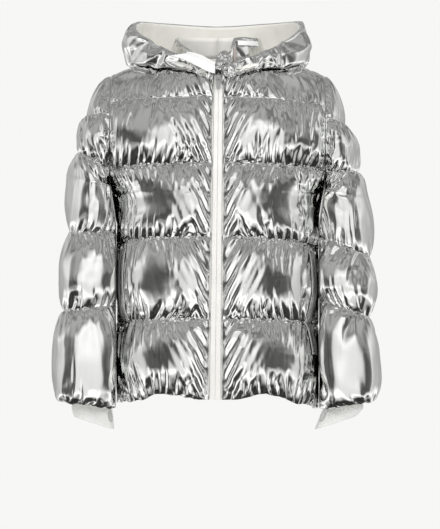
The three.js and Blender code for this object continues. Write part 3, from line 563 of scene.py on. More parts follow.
def sleevePanel(name, side):
    levels = levelRows(paddedSleeve["cells"])
    shares = np.linspace(0, 1, paddedSleeve["columns"] + 1)
    inner = np.array([[sleevePoint(level, s, side) for s in shares] for level in levels])
    # away from the line through the middle of the arm
    share = np.clip((inner[..., 2] - armhole["z"]) / (wrist["z"] - armhole["z"]), 0, 1)
    outwards = np.stack([inner[..., 0] - side * mix(*paddedSleeve["middleX"], share),
                         inner[..., 1] - mix(armhole["y"], paddedSleeve["middleY"], share),
                         25 * (1 - share)], axis=2)
    normal = gridNormals(inner, outwards)
    joinedRow = int(np.argmax(levels > armpitLevel - 1e-6))
    for r in range(joinedRow + 1):
        both = normal[r, 0] + normal[r, -1]
        normal[r, 0] = normal[r, -1] = both / np.linalg.norm(both)
    fade = np.zeros(inner.shape[:2])
    half = form["seamGap"] / 2
    shift = np.zeros_like(inner)
    for r, level in enumerate(levels):
        for c, s in enumerate(shares):
            underarm = min(s, 1 - s)
            onArmhole = isTop(level) or (underarm < 1e-6 and isArmhole(level))
            pressed = mix(paddedSleeve["pressedSide"], 1, smooth(
                underarm / paddedSleeve["pressedOver"])) if level < 3 else 1
            fade[r, c] = roundFade(underarm / paddedSleeve["seamRound"]) * pressed * (
                paddedSleeve["capShare"] if level > 4 else 1)
            if level > armpitLevel and side * normal[r, c, 0] < 0:
                normal[r, c, 0] = 0
            if onArmhole:
                normal[r, c, 0] = 0
                shift[r, c, 0] = side * half
            elif underarm < 1e-6:
                normal[r, c, 1] = 0
    normal = unitRows(normal)
    height = np.array([channelHeight(level) for level in levels])[:, None] * fade
    # worn sleeves are flattened front and back, so they stand out further between those
    boxed = paddedSleeve["boxed"] * np.sin(4 * math.pi * shares)[None, :] ** 2
    boxed = boxed * np.clip(paddedSleeve["boxedBelow"] - levels, 0, 1)[:, None]
    thickness = form["seamWall"] + paddedSleeve["puff"] * height + boxed * height ** 0.5
    outer = inner + shift + normal * thickness[..., None]
    inner = inner + shift
    keepOutside(inner, form["seamWall"])
    keepOutside(outer)
    panels[name] = {"levels": levels, "inner": inner, "start": outer, "normal": normal,
                    "fade": fade, "joinedRow": joinedRow, "limit": keepOutside, "puff": paddedSleeve}


bodyPanel("front_right", -1, -1, paddedBody["frontColumns"])
bodyPanel("front_left", -1, 1, paddedBody["frontColumns"])
bodyPanel("back", 1, 1, paddedBody["backColumns"])
sleevePanel("sleeve_right", -1)
sleevePanel("sleeve_left", 1)
print("padded panels laid out")


# filling: each outside is cloth sewn down along its seams, cut too large and blown out by down
filling = {"frames": 22, "pressure": 5.0, "tension": 18.0, "shear": 7.2, "bending": 0.5, "mass": 0.12,
           "quality": 4, "airDamping": 2.0, "damping": 8.0, "shearDamping": 4.0}
dentCells = {"rows": (22, 34), "columnsEach": (9, 6), "second": 0.6}


def sewnDown(grid, rows):
    pinned = np.zeros(grid.shape[:2], bool)
    pinned[rows] = True
    pinned[:, [0, -1]] = True
    return pinned


def pinnedOf(panel):
    if "pinned" in panel:
        return panel["pinned"]
    return sewnDown(panel["start"], np.abs(panel["levels"] - np.round(panel["levels"])) < 1e-6)


def shown(panel):
    # how far pleats and crumples show: not at all where the cloth is sewn down
    return np.clip(panel["fade"] * 1.6, 0, 1) * ~panel["pinned"]


def clothObject(name, start, pinned, toSize, excess):
    quads = gridQuads(*start.shape[:2]).reshape(-1, 4)
    mesh = bpy.data.meshes.new(name + "_cloth")
    mesh.from_pydata((start.reshape(-1, 3) * 0.001).tolist(), [], quads.tolist())
    obj = placed(name + "_cloth", mesh)
    group = obj.vertex_groups.new(name="sewn")
    group.add(np.flatnonzero(pinned.ravel()).tolist(), 1.0, "REPLACE")
    cloth = obj.modifiers.new("down", "CLOTH")
    settings = cloth.settings
    settings.quality = filling["quality"]
    settings.mass = filling["mass"]
    settings.air_damping = filling["airDamping"]
    settings.tension_stiffness = settings.compression_stiffness = filling["tension"]
    settings.shear_stiffness = filling["shear"]
    settings.bending_stiffness = filling["bending"]
    settings.tension_damping = settings.compression_damping = filling["damping"]
    settings.shear_damping = filling["shearDamping"]
    settings.vertex_group_mass = "sewn"
    # the cloth is cut too large, but not along its side seams
    flat = obj.vertex_groups.new(name="cut to size")
    for step in range(1, 11):
        chosen = np.flatnonzero(np.round(toSize.ravel() * 10) == step)
        if len(chosen):
            flat.add(chosen.tolist(), step / 10, "REPLACE")
    settings.vertex_group_shrink = "cut to size"
    settings.shrink_min = -excess
    settings.shrink_max = 0.0
    settings.use_pressure = True
    settings.uniform_pressure_force = filling["pressure"]
    settings.effector_weights.gravity = 0.0
    cloth.collision_settings.use_collision = False
    cloth.collision_settings.use_self_collision = False
    cloth.point_cache.frame_start = 1
    cloth.point_cache.frame_end = filling["frames"]
    return obj


def facingOut(panel):
    # pressure blows along the faces' normals, so the columns run the way that makes them face out
    start = panel["start"]
    r, c = start.shape[0] // 2, start.shape[1] // 2
    face = np.cross(start[r, c + 1] - start[r, c], start[r + 1, c] - start[r, c])
    return np.dot(face, panel["normal"][r, c]) > 0


def softened(values, axis):
    out = values.swapaxes(0, axis).copy()
    out[1:-1] = (out[:-2] + 2 * out[1:-1] + out[2:]) / 4
    return out.swapaxes(0, axis)


def softenedOver(values, axis, times):
    for _ in range(times):
        values = softened(values, axis)
    return values


def withoutDots(move, times):
    # pleats are narrow one way and long the other, so what is narrow both ways is taken out
    acrossOnly, alongOnly = softenedOver(move, 0, times), softenedOver(move, 1, times)
    return acrossOnly + alongOnly - softenedOver(acrossOnly, 1, times)


def fillPanels(names):
    clothObjects = {}
    for i, name in enumerate(names):
        panel = panels[name]
        start = panel["start"]
        panel["pinned"] = pinnedOf(panel)
        rough = seamPleats(panel, 11 + i) if name in panelNames else panel["puff"]["crumple"] * noiseField(
            start.shape[:2], panel["puff"]["crumpleCells"], 45 + i)
        if name.startswith("front"):
            fromZip = np.abs(start[..., 0] - start[:, :1, 0])
            rough *= smoothGrid((fromZip - pleats["clearOfZip"]) / pleats["clearOver"])
            rough += zipPleats(panel, 91 + i)
        rough *= shown(panel)
        begun = start + panel["normal"] * rough[..., None]
        flipped = not facingOut(panel)
        given = begun[:, ::-1] if flipped else begun
        pins = panel["pinned"][:, ::-1] if flipped else panel["pinned"]
        toSize = np.clip(1.25 - 1.5 * panel["fade"], 0, 1) if name in panelNames else np.zeros(pins.shape)
        toSize = toSize[:, ::-1] if flipped else toSize
        clothObjects[name] = (clothObject(name, given, pins, toSize, panel["puff"]["excess"]), flipped)
    scene = bpy.context.scene
    for step in range(1, filling["frames"] + 1):
        scene.frame_set(step)
    graph = bpy.context.evaluated_depsgraph_get()
    for name, (obj, flipped) in clothObjects.items():
        panel = panels[name]
        evaluated = obj.evaluated_get(graph)
        flat = np.empty(len(evaluated.data.vertices) * 3)
        evaluated.data.vertices.foreach_get("co", flat)
        ended = flat.reshape(panel["start"].shape) * 1000
        if flipped:
            ended = ended[:, ::-1]
        move = withoutDots(ended - panel["start"], panel["puff"]["dotsOut"][name.startswith("front")])
        size = np.linalg.norm(move, axis=2, keepdims=True)
        cap = panel["puff"]["cap"]
        move *= np.where(size > 1e-9, cap * np.tanh(size / cap) / np.maximum(size, 1e-9), 1)
        if name in panelNames:
            # worn foil keeps shallow dents all over
            (low, high), (wide, narrow) = dentCells["rows"], dentCells["columnsEach"]
            dents = noiseField(move.shape[:2], (low, move.shape[1] // wide), 61 + len(name))
            dents += dentCells["second"] * noiseField(
                move.shape[:2], (high, move.shape[1] // narrow), 81 + len(name))
            dents *= panel["puff"]["dents"] * np.clip(panel["fade"] * 1.3, 0, 1)
            move += panel["normal"] * dents[..., None]
        panel["filled"] = panel["start"] + move * ~panel["pinned"][..., None]
        print("  filled", name, "mean move %.1f mm, largest %.1f mm" % (size.mean(), size.max()))
        bpy.data.objects.remove(obj)
    scene.frame_set(1)


(fillPanels)(panelNames)
print("panels filled")


# meshes
def stitchStrip(faces, upper, lower):
    i = j = 0
    m, n = len(upper) - 1, len(lower) - 1
    while i < m or j < n:
        if j == n or (i < m and (i + 1) / m <= (j + 1) / n):
            faces.append((upper[i], upper[i + 1], lower[j]))
            i += 1
        else:
            faces.append((upper[i], lower[j + 1], lower[j]))
            j += 1


def thinned(count):
    # every eighth row or column, and the last
    kept = list(range(0, count, 8))
    if kept[-1] != count - 1:
        kept.append(count - 1)
    return kept


def closedPanel(name, outer, inner, keepRows, keepColumns, joinedRow, uv):
    # the outside is fine, and the inside keeps only some of its rows and columns
    rows, columns = outer.shape[:2]
    count, inRows, inColumns = rows * columns, len(keepRows), len(keepColumns)
    outIndex = np.arange(count).reshape(rows, columns)
    inIndex = np.arange(inRows * inColumns).reshape(inRows, inColumns) + count
    points = np.concatenate([outer.reshape(-1, 3), inner[np.ix_(keepRows, keepColumns)].reshape(-1, 3)])
    outFaces = gridQuads(rows, columns).reshape(-1, 4).tolist()
    inFaces = (gridQuads(inRows, inColumns).reshape(-1, 4)[:, ::-1] + count).tolist()
    edgeFaces = []
    stitchStrip(edgeFaces, outIndex[0].tolist(), inIndex[0].tolist())
    stitchStrip(edgeFaces, outIndex[-1].tolist(), inIndex[-1].tolist())
    firstOpen = keepRows.index(joinedRow) if joinedRow > 0 else 0
    start = max(0, joinedRow)
    for c, k in ((0, 0), (-1, -1)):
        stitchStrip(edgeFaces, outIndex[start:, c].tolist(), inIndex[firstOpen:, k].tolist())
    slots = [0] * len(outFaces) + [1] * len(inFaces) + [0] * len(edgeFaces)
    uvs = np.concatenate([uv.reshape(-1, 2), uv[np.ix_(keepRows, keepColumns)].reshape(-1, 2)])
    return meshPiece(name, points, outFaces + inFaces + edgeFaces, uvs, slots)


def fineLevels(panel):
    return upsample(np.repeat(panel["levels"][:, None], 2, axis=1)[..., None])[:, 0, 0]


pieces = {}
hem = {"height": 2.2, "columnsAWave": 5, "rows": 5.0}


def finishPanel(name):
    panel = panels[name]
    fine, inner = upsample(panel["filled"]), upsample(panel["inner"])
    rows, columns = fine.shape[:2]
    if "limit" in panel:
        # the hem is drawn up a little between its stitches
        wave = hem["height"] * noiseField((2, columns), (1, columns // hem["columnsAWave"]), len(name))[0]
        wave *= np.clip(np.minimum(np.arange(columns), np.arange(columns)[::-1]) / 12, 0, 1)
        fading = np.exp(-np.arange(rows) / hem["rows"])[:, None]
        fine[..., 2] += wave * fading
        inner[..., 2] += wave * fading
        panel["limit"](fine)
    joinedRow = panel["joinedRow"] * 2 if panel["joinedRow"] > 0 else -1
    if joinedRow > 0:
        fine[:joinedRow + 1, -1] = fine[:joinedRow + 1, 0]
        inner[:joinedRow + 1, -1] = inner[:joinedRow + 1, 0]
    keepRows = thinned(rows)
    if joinedRow > 0 and joinedRow not in keepRows:
        keepRows = sorted(keepRows + [joinedRow])
    keepColumns = thinned(columns)
    levels = fineLevels(panel)
    step = np.linalg.norm(np.diff(inner, axis=1), axis=2).mean(axis=0)
    along = np.concatenate([[0], np.cumsum(step)]) * 0.01
    uv = np.stack(np.meshgrid(along, levels), axis=2)
    panel["fine"] = fine
    pieces[name] = closedPanel(name + "_cloth", fine, inner, keepRows, keepColumns, joinedRow, uv)


for name in panelNames:
    finishPanel(name)
print("panel meshes made")


# hood, worn down on the shoulders
hood = {"wall": 9, "columns": 116, "rows": 24, "clearance": 1.4, "puff": 6.0, "excess": 0.08, "cap": 8.0,
        "crumple": 5.5, "crumpleCells": (6, 26), "dotsOut": (1, 1), "sinks": 26.0, "quiltAt": 0.56,
        "frontFrom": 10, "frontOver": 70, "frontShare": 0.25, "flatBelow": 1.2, "flatShare": 0.35}
hoodKeys = ("at", "floorR", "floorZ", "edgeR", "edgeZ", "wallR", "wallZ", "rimR", "rimZ")
hoodSections = [dict(zip(hoodKeys, row)) for row in (
    (5, 116, -8, 120, -5, 121, 0, 120, 5),
    (30, 112, 0, 118, 3, 120, 11, 117, 20),
    (60, 112, 8, 128, 10, 135, 26, 127, 42),
    (80, 116, 12, 148, 12, 160, 38, 152, 70),
    (110, 116, 16, 156, 10, 171, 44, 160, 92),
    (145, 112, 16, 166, -10, 194, 30, 172, 94),
    (180, 114, 10, 164, -28, 204, 20, 178, 90),
)]
collar = {"puff": 3, "columns": 84, "rows": 20, "excess": 0.03, "cap": 4.0,
          "crumple": 1.8, "crumpleCells": (3, 11), "dotsOut": (1, 1)}
collarTops = {
    -1: [dict(zip(("at", "z", "lean"), row)) for row in (
        (4, 6, 1), (26, 24, 4), (50, 42, 1), (80, 56, -6), (120, 62, -8), (180, 62, -6))],
    1: [dict(zip(("at", "z", "lean"), row)) for row in (
        (4, 14, 1), (15, 26, -3), (22, 54, -5), (60, 57, -7), (120, 62, -8), (180, 62, -6))],
}
stationEnd = 4


def gridTree(grids):
    points, faces = [], []
    for grid in grids:
        faces += (gridQuads(*grid.shape[:2]).reshape(-1, 4) + len(points)).tolist()
        points += grid.reshape(-1, 3).tolist()
    return BVHTree.FromPolygons(points, faces)


bodyTree = gridTree([panels[name]["filled"] for name in ("front_right", "front_left", "back")])


def bodyTopUnder(x, y, reach):
    top = -1e9
    for dx, dy in ((0, 0), (reach, 0), (-reach, 0), (0, reach), (0, -reach)):
        hit = bodyTree.ray_cast(Vector((x + dx, y + dy, 300)), Vector((0, 0, -1)))[0]
        if hit is not None:
            top = max(top, hit.z)
    return top


def hoodSection(degrees, stations):
    row = rowAtAngle(hoodSections, abs(degrees))
    read = {key: splineValue(hoodSections, key, row) for key in hoodKeys[1:]}
    turn = math.radians(degrees)
    foot = neckPoint(turn)
    direction = vec(math.sin(turn), -math.cos(turn), 0)
    footR = math.hypot(foot[0], foot[1] - neck["y"]) + form["seamWall"] + collar["puff"] + 1.6
    table = [
        {"r": footR, "z": foot[2] + 2},
        {"r": max(footR + 1, read["floorR"]), "z": read["floorZ"]},
        {"r": max(footR + 2, read["edgeR"]), "z": read["edgeZ"]},
        {"r": max(footR + 2, read["wallR"]), "z": read["wallZ"]},
        {"r": max(footR + 1, read["rimR"]), "z": read["rimZ"]},
    ]
    return [direction * splineValue(table, "r", t) + vec(0, neck["y"], splineValue(table, "z", t))
            for t in stations]


def clearOfBody(grid, clearance, reach=5):
    # what is lifted off the body takes the cloth round it along, so no step stands out
    tops = np.array([bodyTopUnder(x, y, reach) for x, y, _ in grid.reshape(-1, 3)]).reshape(grid.shape[:2])
    lift = np.maximum(0, tops + clearance - grid[..., 2])
    for _ in range(10):
        lift = np.maximum(lift, 0.96 * softened(softened(lift, 0), 1))
    grid[..., 2] += lift


def settle(grid, stations):
    # the lower part of the hood sinks until it lies on the shoulders
    for r, station in enumerate(stations):
        weight = 1 - smooth((station - 2.0) / 1.2)
        for point in grid[r]:
            gap = point[2] - bodyTopUnder(point[0], point[1], 5) - hood["clearance"]
            if 0 < gap < hood["sinks"]:
                point[2] -= gap * weight


def hoodPanel():
    stations = np.linspace(0, stationEnd, hood["rows"] + 1)
    start, end = hoodSections[0]["at"] - 360, -hoodSections[0]["at"]
    angles = np.linspace(start, end, hood["columns"] + 1)
    angles = np.where(angles < -180, angles + 360, angles)
    outer = np.array([hoodSection(a, stations) for a in angles]).swapaxes(0, 1).copy()
    settle(outer, stations)
    clearOfBody(outer, hood["clearance"] + 1.5)
    radius = np.hypot(outer[..., 0], outer[..., 1])
    aside = outer[..., :2] / radius[..., None] * 60
    outwards = np.concatenate([aside, outer[..., 2:] - 90], axis=2)
    normal = gridNormals(outer, outwards)
    normal[0] = (0, 0, -1)
    padding = np.sin(math.pi * (stations / stationEnd * 7 + 0.4) / 7.8).clip(0) ** 0.6
    sideways = np.array([smooth((abs(a) - hood["frontFrom"]) / hood["frontOver"]) for a in angles])
    thickness = form["seamWall"] + (hood["wall"] - form["seamWall"]) * padding[:, None] * sideways[None]
    inner = outer - normal * thickness[..., None]
    # quilted once round its middle, so the down stands in a low roll and a high one
    quilt = int(round(hood["rows"] * hood["quiltAt"]))
    half = np.where(np.arange(len(stations)) <= quilt, np.arange(len(stations)) / quilt,
                    (np.arange(len(stations)) - quilt) / (hood["rows"] - quilt))
    roll = (4 * half * (1 - half)) ** 0.6
    roll[stations < hood["flatBelow"]] *= hood["flatShare"]
    fade = roll[:, None] * (hood["frontShare"] + (1 - hood["frontShare"]) * sideways[None])
    begun = outer + normal * (hood["puff"] * fade)[..., None]
    pinned = sewnDown(outer, [0, quilt, -1])
    seams = [0, quilt, hood["rows"]]
    panels["hood_shell"] = {"levels": np.interp(np.arange(len(stations)), seams, (0, 1, 2)),
                            "stations": stations, "inner": inner, "start": begun, "normal": normal,
                            "fade": fade, "joinedRow": -1, "puff": hood, "pinned": pinned, "seams": seams}


def collarPuff(h):
    return collar["puff"] * math.sin(math.pi * min(1, h * 0.94)) ** 0.8


def collarPanel(name, side):
    halfway, steps = math.pi / 2, np.linspace(0, 1, collar["columns"] // 2 + 1)
    shares = np.concatenate([mix(zipAngleOf(side), halfway, steps)[:-1], mix(halfway, math.pi, steps)])
    heights = np.linspace(0, 1, collar["rows"] + 1)
    grids = []
    for thick in (1, 0):
        grid = np.empty((len(heights), len(shares), 3))
        for c, angle in enumerate(shares):
            row = rowAtAngle(collarTops[side], math.degrees(angle))
            foot = neckPoint(side * angle)
            out = vec(foot[0], foot[1] - neck["y"], 0)
            out /= np.linalg.norm(out)
            top = splineValue(collarTops[side], "z", row)
            lean = splineValue(collarTops[side], "lean", row)
            for r, h in enumerate(heights):
                point = foot + out * (lean * h ** 1.5 + thick * (form["seamWall"] + collarPuff(h)))
                point[2] = mix(foot[2] + form["seamGap"], top, h)
                if c == len(shares) - 1:
                    point[0] += side * form["seamGap"] / 2
                grid[r, c] = point
        grids.append(grid)
    outer, inner = grids
    outwards = outer - vec(0, neck["y"], 0)
    outwards[..., 2] = 0
    normal = gridNormals(outer, outwards)
    pinned = sewnDown(outer, [0, -1])
    fade = np.ones(outer.shape[:2]) * 0.5
    panels[name] = {"levels": heights, "inner": inner, "start": outer, "normal": normal, "fade": fade,
                    "joinedRow": -1, "puff": collar, "pinned": pinned, "seams": [0, collar["rows"]]}


hoodPanel()
collarPanel("collar_right", -1)
collarPanel("collar_left", 1)
upperNames = ("hood_shell", "collar_right", "collar_left")
(fillPanels)(upperNames)
clearOfBody(panels["hood_shell"]["filled"], 0.9, 3)


def liftHoodInside():
    # where the hood lies flat, its inside stays above its filled outside
    panel = panels["hood_shell"]
    height = panel["inner"][..., 2]
    short = np.maximum(0, panel["filled"][..., 2] + 2 - height)
    height += short * (1 - smoothGrid(panel["stations"] - 2))[:, None]
    np.minimum(height, panel["filled"][-1, :, 2] + 0.3, out=height)


liftHoodInside()
for name in upperNames:
    finishPanel(name)
print("hood and collar made")


# thin cloth: two faces with the same rows and columns, some of its squares left out
def sheetMesh(name, face, back, keep=None, uv=None):
    rows, columns = face.shape[:2]
    quads = gridQuads(rows, columns)
    quads = quads[keep] if keep is not None else quads.reshape(-1, 4)
    edges = np.concatenate([quads[:, [k, (k + 1) % 4]] for k in range(4)])
    ordered = np.sort(edges, axis=1)
    _, first, times = np.unique(ordered, axis=0, return_index=True, return_counts=True)
    rim = edges[first[times == 1]]
    count = rows * columns
    sides = np.stack([rim[:, 1], rim[:, 0], rim[:, 0] + count, rim[:, 1] + count], axis=1)
    faces = quads.tolist() + (quads[:, ::-1] + count).tolist() + sides.tolist()
    uvs = np.concatenate([uv.reshape(-1, 2)] * 2) if uv is not None else None
    return meshPiece(name, np.concatenate([face.reshape(-1, 3), back.reshape(-1, 3)]), faces, uvs)


def ringTube(name, line, radius, sides=8):
    # a round binding along a closed line
    along = unitRows(np.roll(line, -1, axis=0) - np.roll(line, 1, axis=0))
    right = unitRows(np.cross(along, vec(0.31, 0.52, 0.79)))
    up = np.cross(right, along)
    turns = np.linspace(0, 2 * math.pi, sides, endpoint=False)
    rings = line[:, None] + radius * (np.cos(turns)[None, :, None] * right[:, None]
                                      + np.sin(turns)[None, :, None] * up[:, None])
    count = len(line)
    faces = []
    for i in range(count):
        for k in range(sides):
            j, m = (i + 1) % count, (k + 1) % sides
            faces.append((i * sides + k, i * sides + m, j * sides + m, j * sides + k))
    return meshPiece(name, rings.reshape(-1, 3), faces, joined=0)


def cutSize(grid):
    lengths = [np.linalg.norm(np.diff(grid, axis=k), axis=2).sum(axis=k).max() * 0.001 for k in (1, 0)]
    a, b = grid[1:, 1:] - grid[:-1, :-1], grid[1:, :-1] - grid[:-1, 1:]
    return lengths, float(np.linalg.norm(np.cross(a, b), axis=2).sum() * 0.5e-6)


# what each thin piece is: its cloth's face, how it is held, the CAD solid it stands for
sheets = {}


def addSheet(name, face, back, node=None, cloth="lining", held="stretched", keep=None, uv=None, rests=()):
    obj = sheetMesh(name, face, back, keep, uv)
    (width, length), area = cutSize(face)
    if keep is not None:
        area *= keep.mean()
    # a tape narrower than 10 mm is cut a little wider than what shows of it
    width, length = max(width, 0.0105), max(length, 0.0105)
    sheets[name] = {"obj": obj, "flat": (width, length), "area": min(area, width * length), "node": node,
                    "cloth": cloth, "held": held, "rests": rests}


# the hood's lining, a little too large for its shell and so gathered
hoodLining = {"gap": 0.5, "wall": 1.2, "fold": 3.2, "cells": (7, 46), "belowEdge": 2.2, "from": 0.55,
              "edgeRows": 6}


def makeHoodLining():
    panel = panels["hood_shell"]
    inner, normal = upsample(panel["inner"]), unitRows(upsample(panel["normal"]))
    stations = upsample(panel["stations"][:, None, None])[:, 0, 0]
    first = int(np.searchsorted(stations, hoodLining["from"]))
    inner, normal = inner[first:], normal[first:]
    rows, columns = inner.shape[:2]
    folds = 0.5 + 0.5 * noiseField((rows, columns), hoodLining["cells"], 311)
    rim = np.clip((rows - 1 - np.arange(rows)) / hoodLining["edgeRows"], 0, 1)[:, None]
    foot = np.clip(np.arange(rows) / hoodLining["edgeRows"], 0, 1)[:, None]
    raised = hoodLining["gap"] + hoodLining["fold"] * folds * rim * foot
    face = inner - normal * (raised + hoodLining["wall"])[..., None]
    # its edge stays below the shell's, so only foil shows from outside
    face[..., 2] = np.minimum(face[..., 2], inner[-1, :, 2] - hoodLining["belowEdge"])
    back = face + normal * hoodLining["wall"] * 0.8
    addSheet("hood_lining_cloth", face, back, "hood_lining", held="gathered", rests=["hood_shell_cloth"])


makeHoodLining()

# knitted cuffs with a thumb hole, ribbed lengthwise
cuff = {"seatZ": -560, "seatGap": 1.1, "outerHemZ": -640, "innerHemZ": -663, "thumbZ": -638, "thumbHalf": 13,
        "thumbHalfWidth": 9.5, "thumbTurn": 62, "swing": {-1: 4, 1: 15}, "wall": 1.2, "rows": 64, "ribs": 50,
        "perRib": 6, "ribHeight": 0.55, "edgeRadius": 1.1}


def cuffGrid(side):
    hem, nextLevel = sleeveLevels[side][0], sleeveLevels[side][1]
    seatLevel = (cuff["seatZ"] - hem["outerZ"]) / (nextLevel["outerZ"] - hem["outerZ"])
    rings = ((0.0, 1, cuff["seatZ"]), (0.2, 0.45, cuff["seatZ"] - 14), (0.4, 0.06, wrist["z"] + 14),
             (0.6, 0, wrist["z"] - 8), (0.8, 0, wrist["z"] - 24))
    columns = cuff["ribs"] * cuff["perRib"]
    at = np.linspace(0, 1, cuff["rows"] + 1)
    grid, inwards = np.empty((len(at), columns + 1, 3)), np.empty((len(at), columns + 1, 3))
    for c in range(columns + 1):
        angle = 2 * math.pi * c / columns
        foot = vec(side * (wrist["x"] - wrist["halfWidth"] * math.cos(angle)),
                   wrist["y"] - wrist["halfDepth"] * math.sin(angle), 0)
        seat = sleevePoint(seatLevel, c / columns, side)
        inward = unitRows(vec(side * 240 - seat[0], -34 - seat[1], 0))
        seat = seat + inward * cuff["seatGap"]
        hemZ = mix(cuff["innerHemZ"], cuff["outerHemZ"], 0.5 - 0.5 * math.cos(angle))
        share = np.interp(at, [r[0] for r in rings], [r[1] for r in rings])
        z = np.interp(at, [r[0] for r in rings] + [1.0], [r[2] for r in rings] + [hemZ])
        grid[:, c] = foot * (1 - share[:, None]) + seat * share[:, None]
        grid[:, c, 2] = z + (seat[2] - cuff["seatZ"]) * share
        grid[:, c, 0] -= side * cuff["swing"][side] * np.clip((at - 0.8) / 0.2, 0, 1)
        inwards[:, c] = inward
    return grid, inwards


def thumbHoleOf(side):
    turn = -side * math.radians(cuff["thumbTurn"])
    centre = vec(side * (wrist["x"] - 18), wrist["y"] - 4, cuff["thumbZ"])
    return centre, vec(math.sin(turn), -math.cos(turn), 0), vec(math.cos(turn), math.sin(turn), 0)


def makeCuff(name, side):
    grid, inwards = cuffGrid(side)
    centre, through, across = thumbHoleOf(side)
    reach = grid - centre
    u, v, front = reach @ across, reach[..., 2], reach @ through > 0
    size = np.hypot(u / cuff["thumbHalfWidth"], v / cuff["thumbHalf"])
    inside = front & (size < 1)
    full = inside[:-1, :-1] & inside[1:, :-1] & inside[:-1, 1:] & inside[1:, 1:]
    out = np.where(inside, 1 / np.maximum(size, 0.05) - 1, 0)
    grid = grid + out[..., None] * (u[..., None] * across + v[..., None] * vec(0, 0, 1))
    columns = np.arange(grid.shape[1])
    rib = cuff["ribHeight"] * (0.5 + 0.5 * np.cos(2 * math.pi * columns / cuff["perRib"]))[None, :, None]
    slack = noiseField(grid.shape[:2], (9, 5), 401 + side)
    slack *= np.clip(np.minimum(columns, columns[::-1]) / 30, 0, 1) * np.linspace(0, 1, len(grid))[:, None]
    face = grid + inwards * (0.9 * slack[..., None] - rib + 0.3)
    back = grid + inwards * (0.9 * slack[..., None] + cuff["wall"])
    addSheet(name + "_cloth", face, back, name, "knit", keep=~full)
    # the thumb hole's edge is bound
    turns = np.linspace(0, 2 * math.pi, 44, endpoint=False)
    ring = []
    for t in turns:
        want = vec(cuff["thumbHalfWidth"] * math.cos(t), 0, cuff["thumbHalf"] * math.sin(t))
        near = np.argmin((u - want[0]) ** 2 + (v - want[2]) ** 2 + 1e6 * ~front)
        depth = reach.reshape(-1, 3)[near] @ through
        ring.append(centre + across * want[0] + through * (depth + 0.3) + vec(0, 0, want[2]))
    ring = np.array(ring)
    ring = (np.roll(ring, 1, axis=0) + ring + np.roll(ring, -1, axis=0)) / 3
    return ringTube(name + "_thumb_edge", ring, cuff["edgeRadius"])


trims = {}
for name, side in (("cuff_right", -1), ("cuff_left", 1)):
    trims[name] = makeCuff(name, side)

# front zip: two tapes whose edges meet in the middle
zipTape = {"wall": 1.3, "crown": 0.5, "columns": 8}


def frontLine(side, columns):
    rows = []
    for level in np.clip(fineLevels(panels["front_right"]), 0, topLevel):
        centre = bodyPoint(level, 0, -1, side)
        start = zipX(centre[2]) + side * form["seamGap"] / 2
        end = zipX(centre[2]) + side * (halfBand(centre[2]) - form["seamGap"] / 2)
        xs = mix(start, end, np.linspace(0, 1, columns + 1))
        rows.append([vec(x, centre[1] - zipLine["tapeSink"], centre[2]) for x in xs])
    return np.array(rows)


for name, side in (("zip_tape_right", -1), ("zip_tape_left", 1)):
    back = frontLine(side, zipTape["columns"])
    share = np.linspace(0, 1, zipTape["columns"] + 1)
    profile = zipTape["wall"] + zipTape["crown"] * np.cos(0.5 * math.pi * share)
    sway = 0.25 * noiseField(back.shape[:2], (60, 2), 500 + side)
    face = back - (profile[None] + sway)[..., None] * vec(0, 1, 0)
    addSheet(name + "_cloth", face, back, name, "tape")

# pocket zips lie on the filled fronts, each beside a smooth welt; their dark grey tape and near-black coil
# are zip parts coloured as painted shade of the pocket openings
pocketZip = {"share": 0.745, "width": 6.0, "wall": 1.2, "lift": 1.0, "weltWidth": 13.0, "weltWall": 1.6,
             "weltGap": 0.6, "softened": 14, "raised": 6}


def pocketStrip(front, fromLevel, toLevel, start, width, columns):
    panel = panels[front]
    fine = panel["fine"]
    levels = fineLevels(panel)
    rows = np.flatnonzero((levels > fromLevel) & (levels < toLevel))
    outwards = fine.copy()
    outwards[..., 1] *= 1.4
    outwards[..., 2] = 0
    normal = gridNormals(fine, outwards)
    first = int(round(pocketZip["share"] * (fine.shape[1] - 1)))
    span = np.linalg.norm(fine[rows, first + 1] - fine[rows, first], axis=1).mean()
    at = first - (start + np.linspace(0, width, columns + 1)) / span
    low = np.floor(at).astype(int)
    t = (at - low)[None, :, None]
    line = fine[rows][:, low] * (1 - t) + fine[rows][:, low + 1] * t
    out = normal[rows][:, low]
    for _ in range(pocketZip["softened"]):
        for values in (line, out):
            values[1:-1] = (values[:-2] + 2 * values[1:-1] + values[2:]) / 4
    out = unitRows(out)
    # it lies on the highest of the cloth under it
    sunk = np.sum((fine[rows][:, low] - line) * out, axis=2).max(axis=1)
    for _ in range(pocketZip["raised"]):
        sunk[1:-1] = np.maximum(sunk[1:-1], (sunk[:-2] + sunk[2:]) / 2)
    return line + out * (np.maximum(sunk, 0)[:, None] + pocketZip["lift"])[..., None], out


pockets = (("pocket_zip_right", "front_right", 1.0, 1.9), ("pocket_zip_left", "front_left", 0.6, 1.9))
zipLines = {}
for name, front, fromLevel, toLevel in pockets:
    back, out = pocketStrip(front, fromLevel, toLevel, 0, pocketZip["width"], 4)
    addSheet(name + "_cloth", back + out * pocketZip["wall"], back, name, "pocket tape, painted shade")
    zipLines[name] = (back + out * (pocketZip["wall"] + 0.3))[:, 2]
    start = pocketZip["width"] + pocketZip["weltGap"]
    back, out = pocketStrip(front, fromLevel, toLevel, start, pocketZip["weltWidth"], 6)
    crown = pocketZip["weltWall"] * (0.55 + 0.45 * np.sin(math.pi * np.linspace(0, 1, 7)))[None, :, None]
    addSheet(name + "_welt", back + out * crown, back, None, "welt")

# the neck: white facing turned out over the right collar, and on the left a taupe strip of painted shade
# along the collar's edge and a white strip
facing = {"columns": 48, "rows": 14, "wall": 1.2, "overHood": 9, "overCollar": 3, "turnsAt": 0.55,
          "ripple": 1.2}
facingEdge = [dict(zip(("at", "low", "top"), row)) for row in (
    (2, -12, 10), (8, -8, 15), (15, 0, 22.5), (28, 13, 29), (36, 19, 26), (40, 21, 23))]


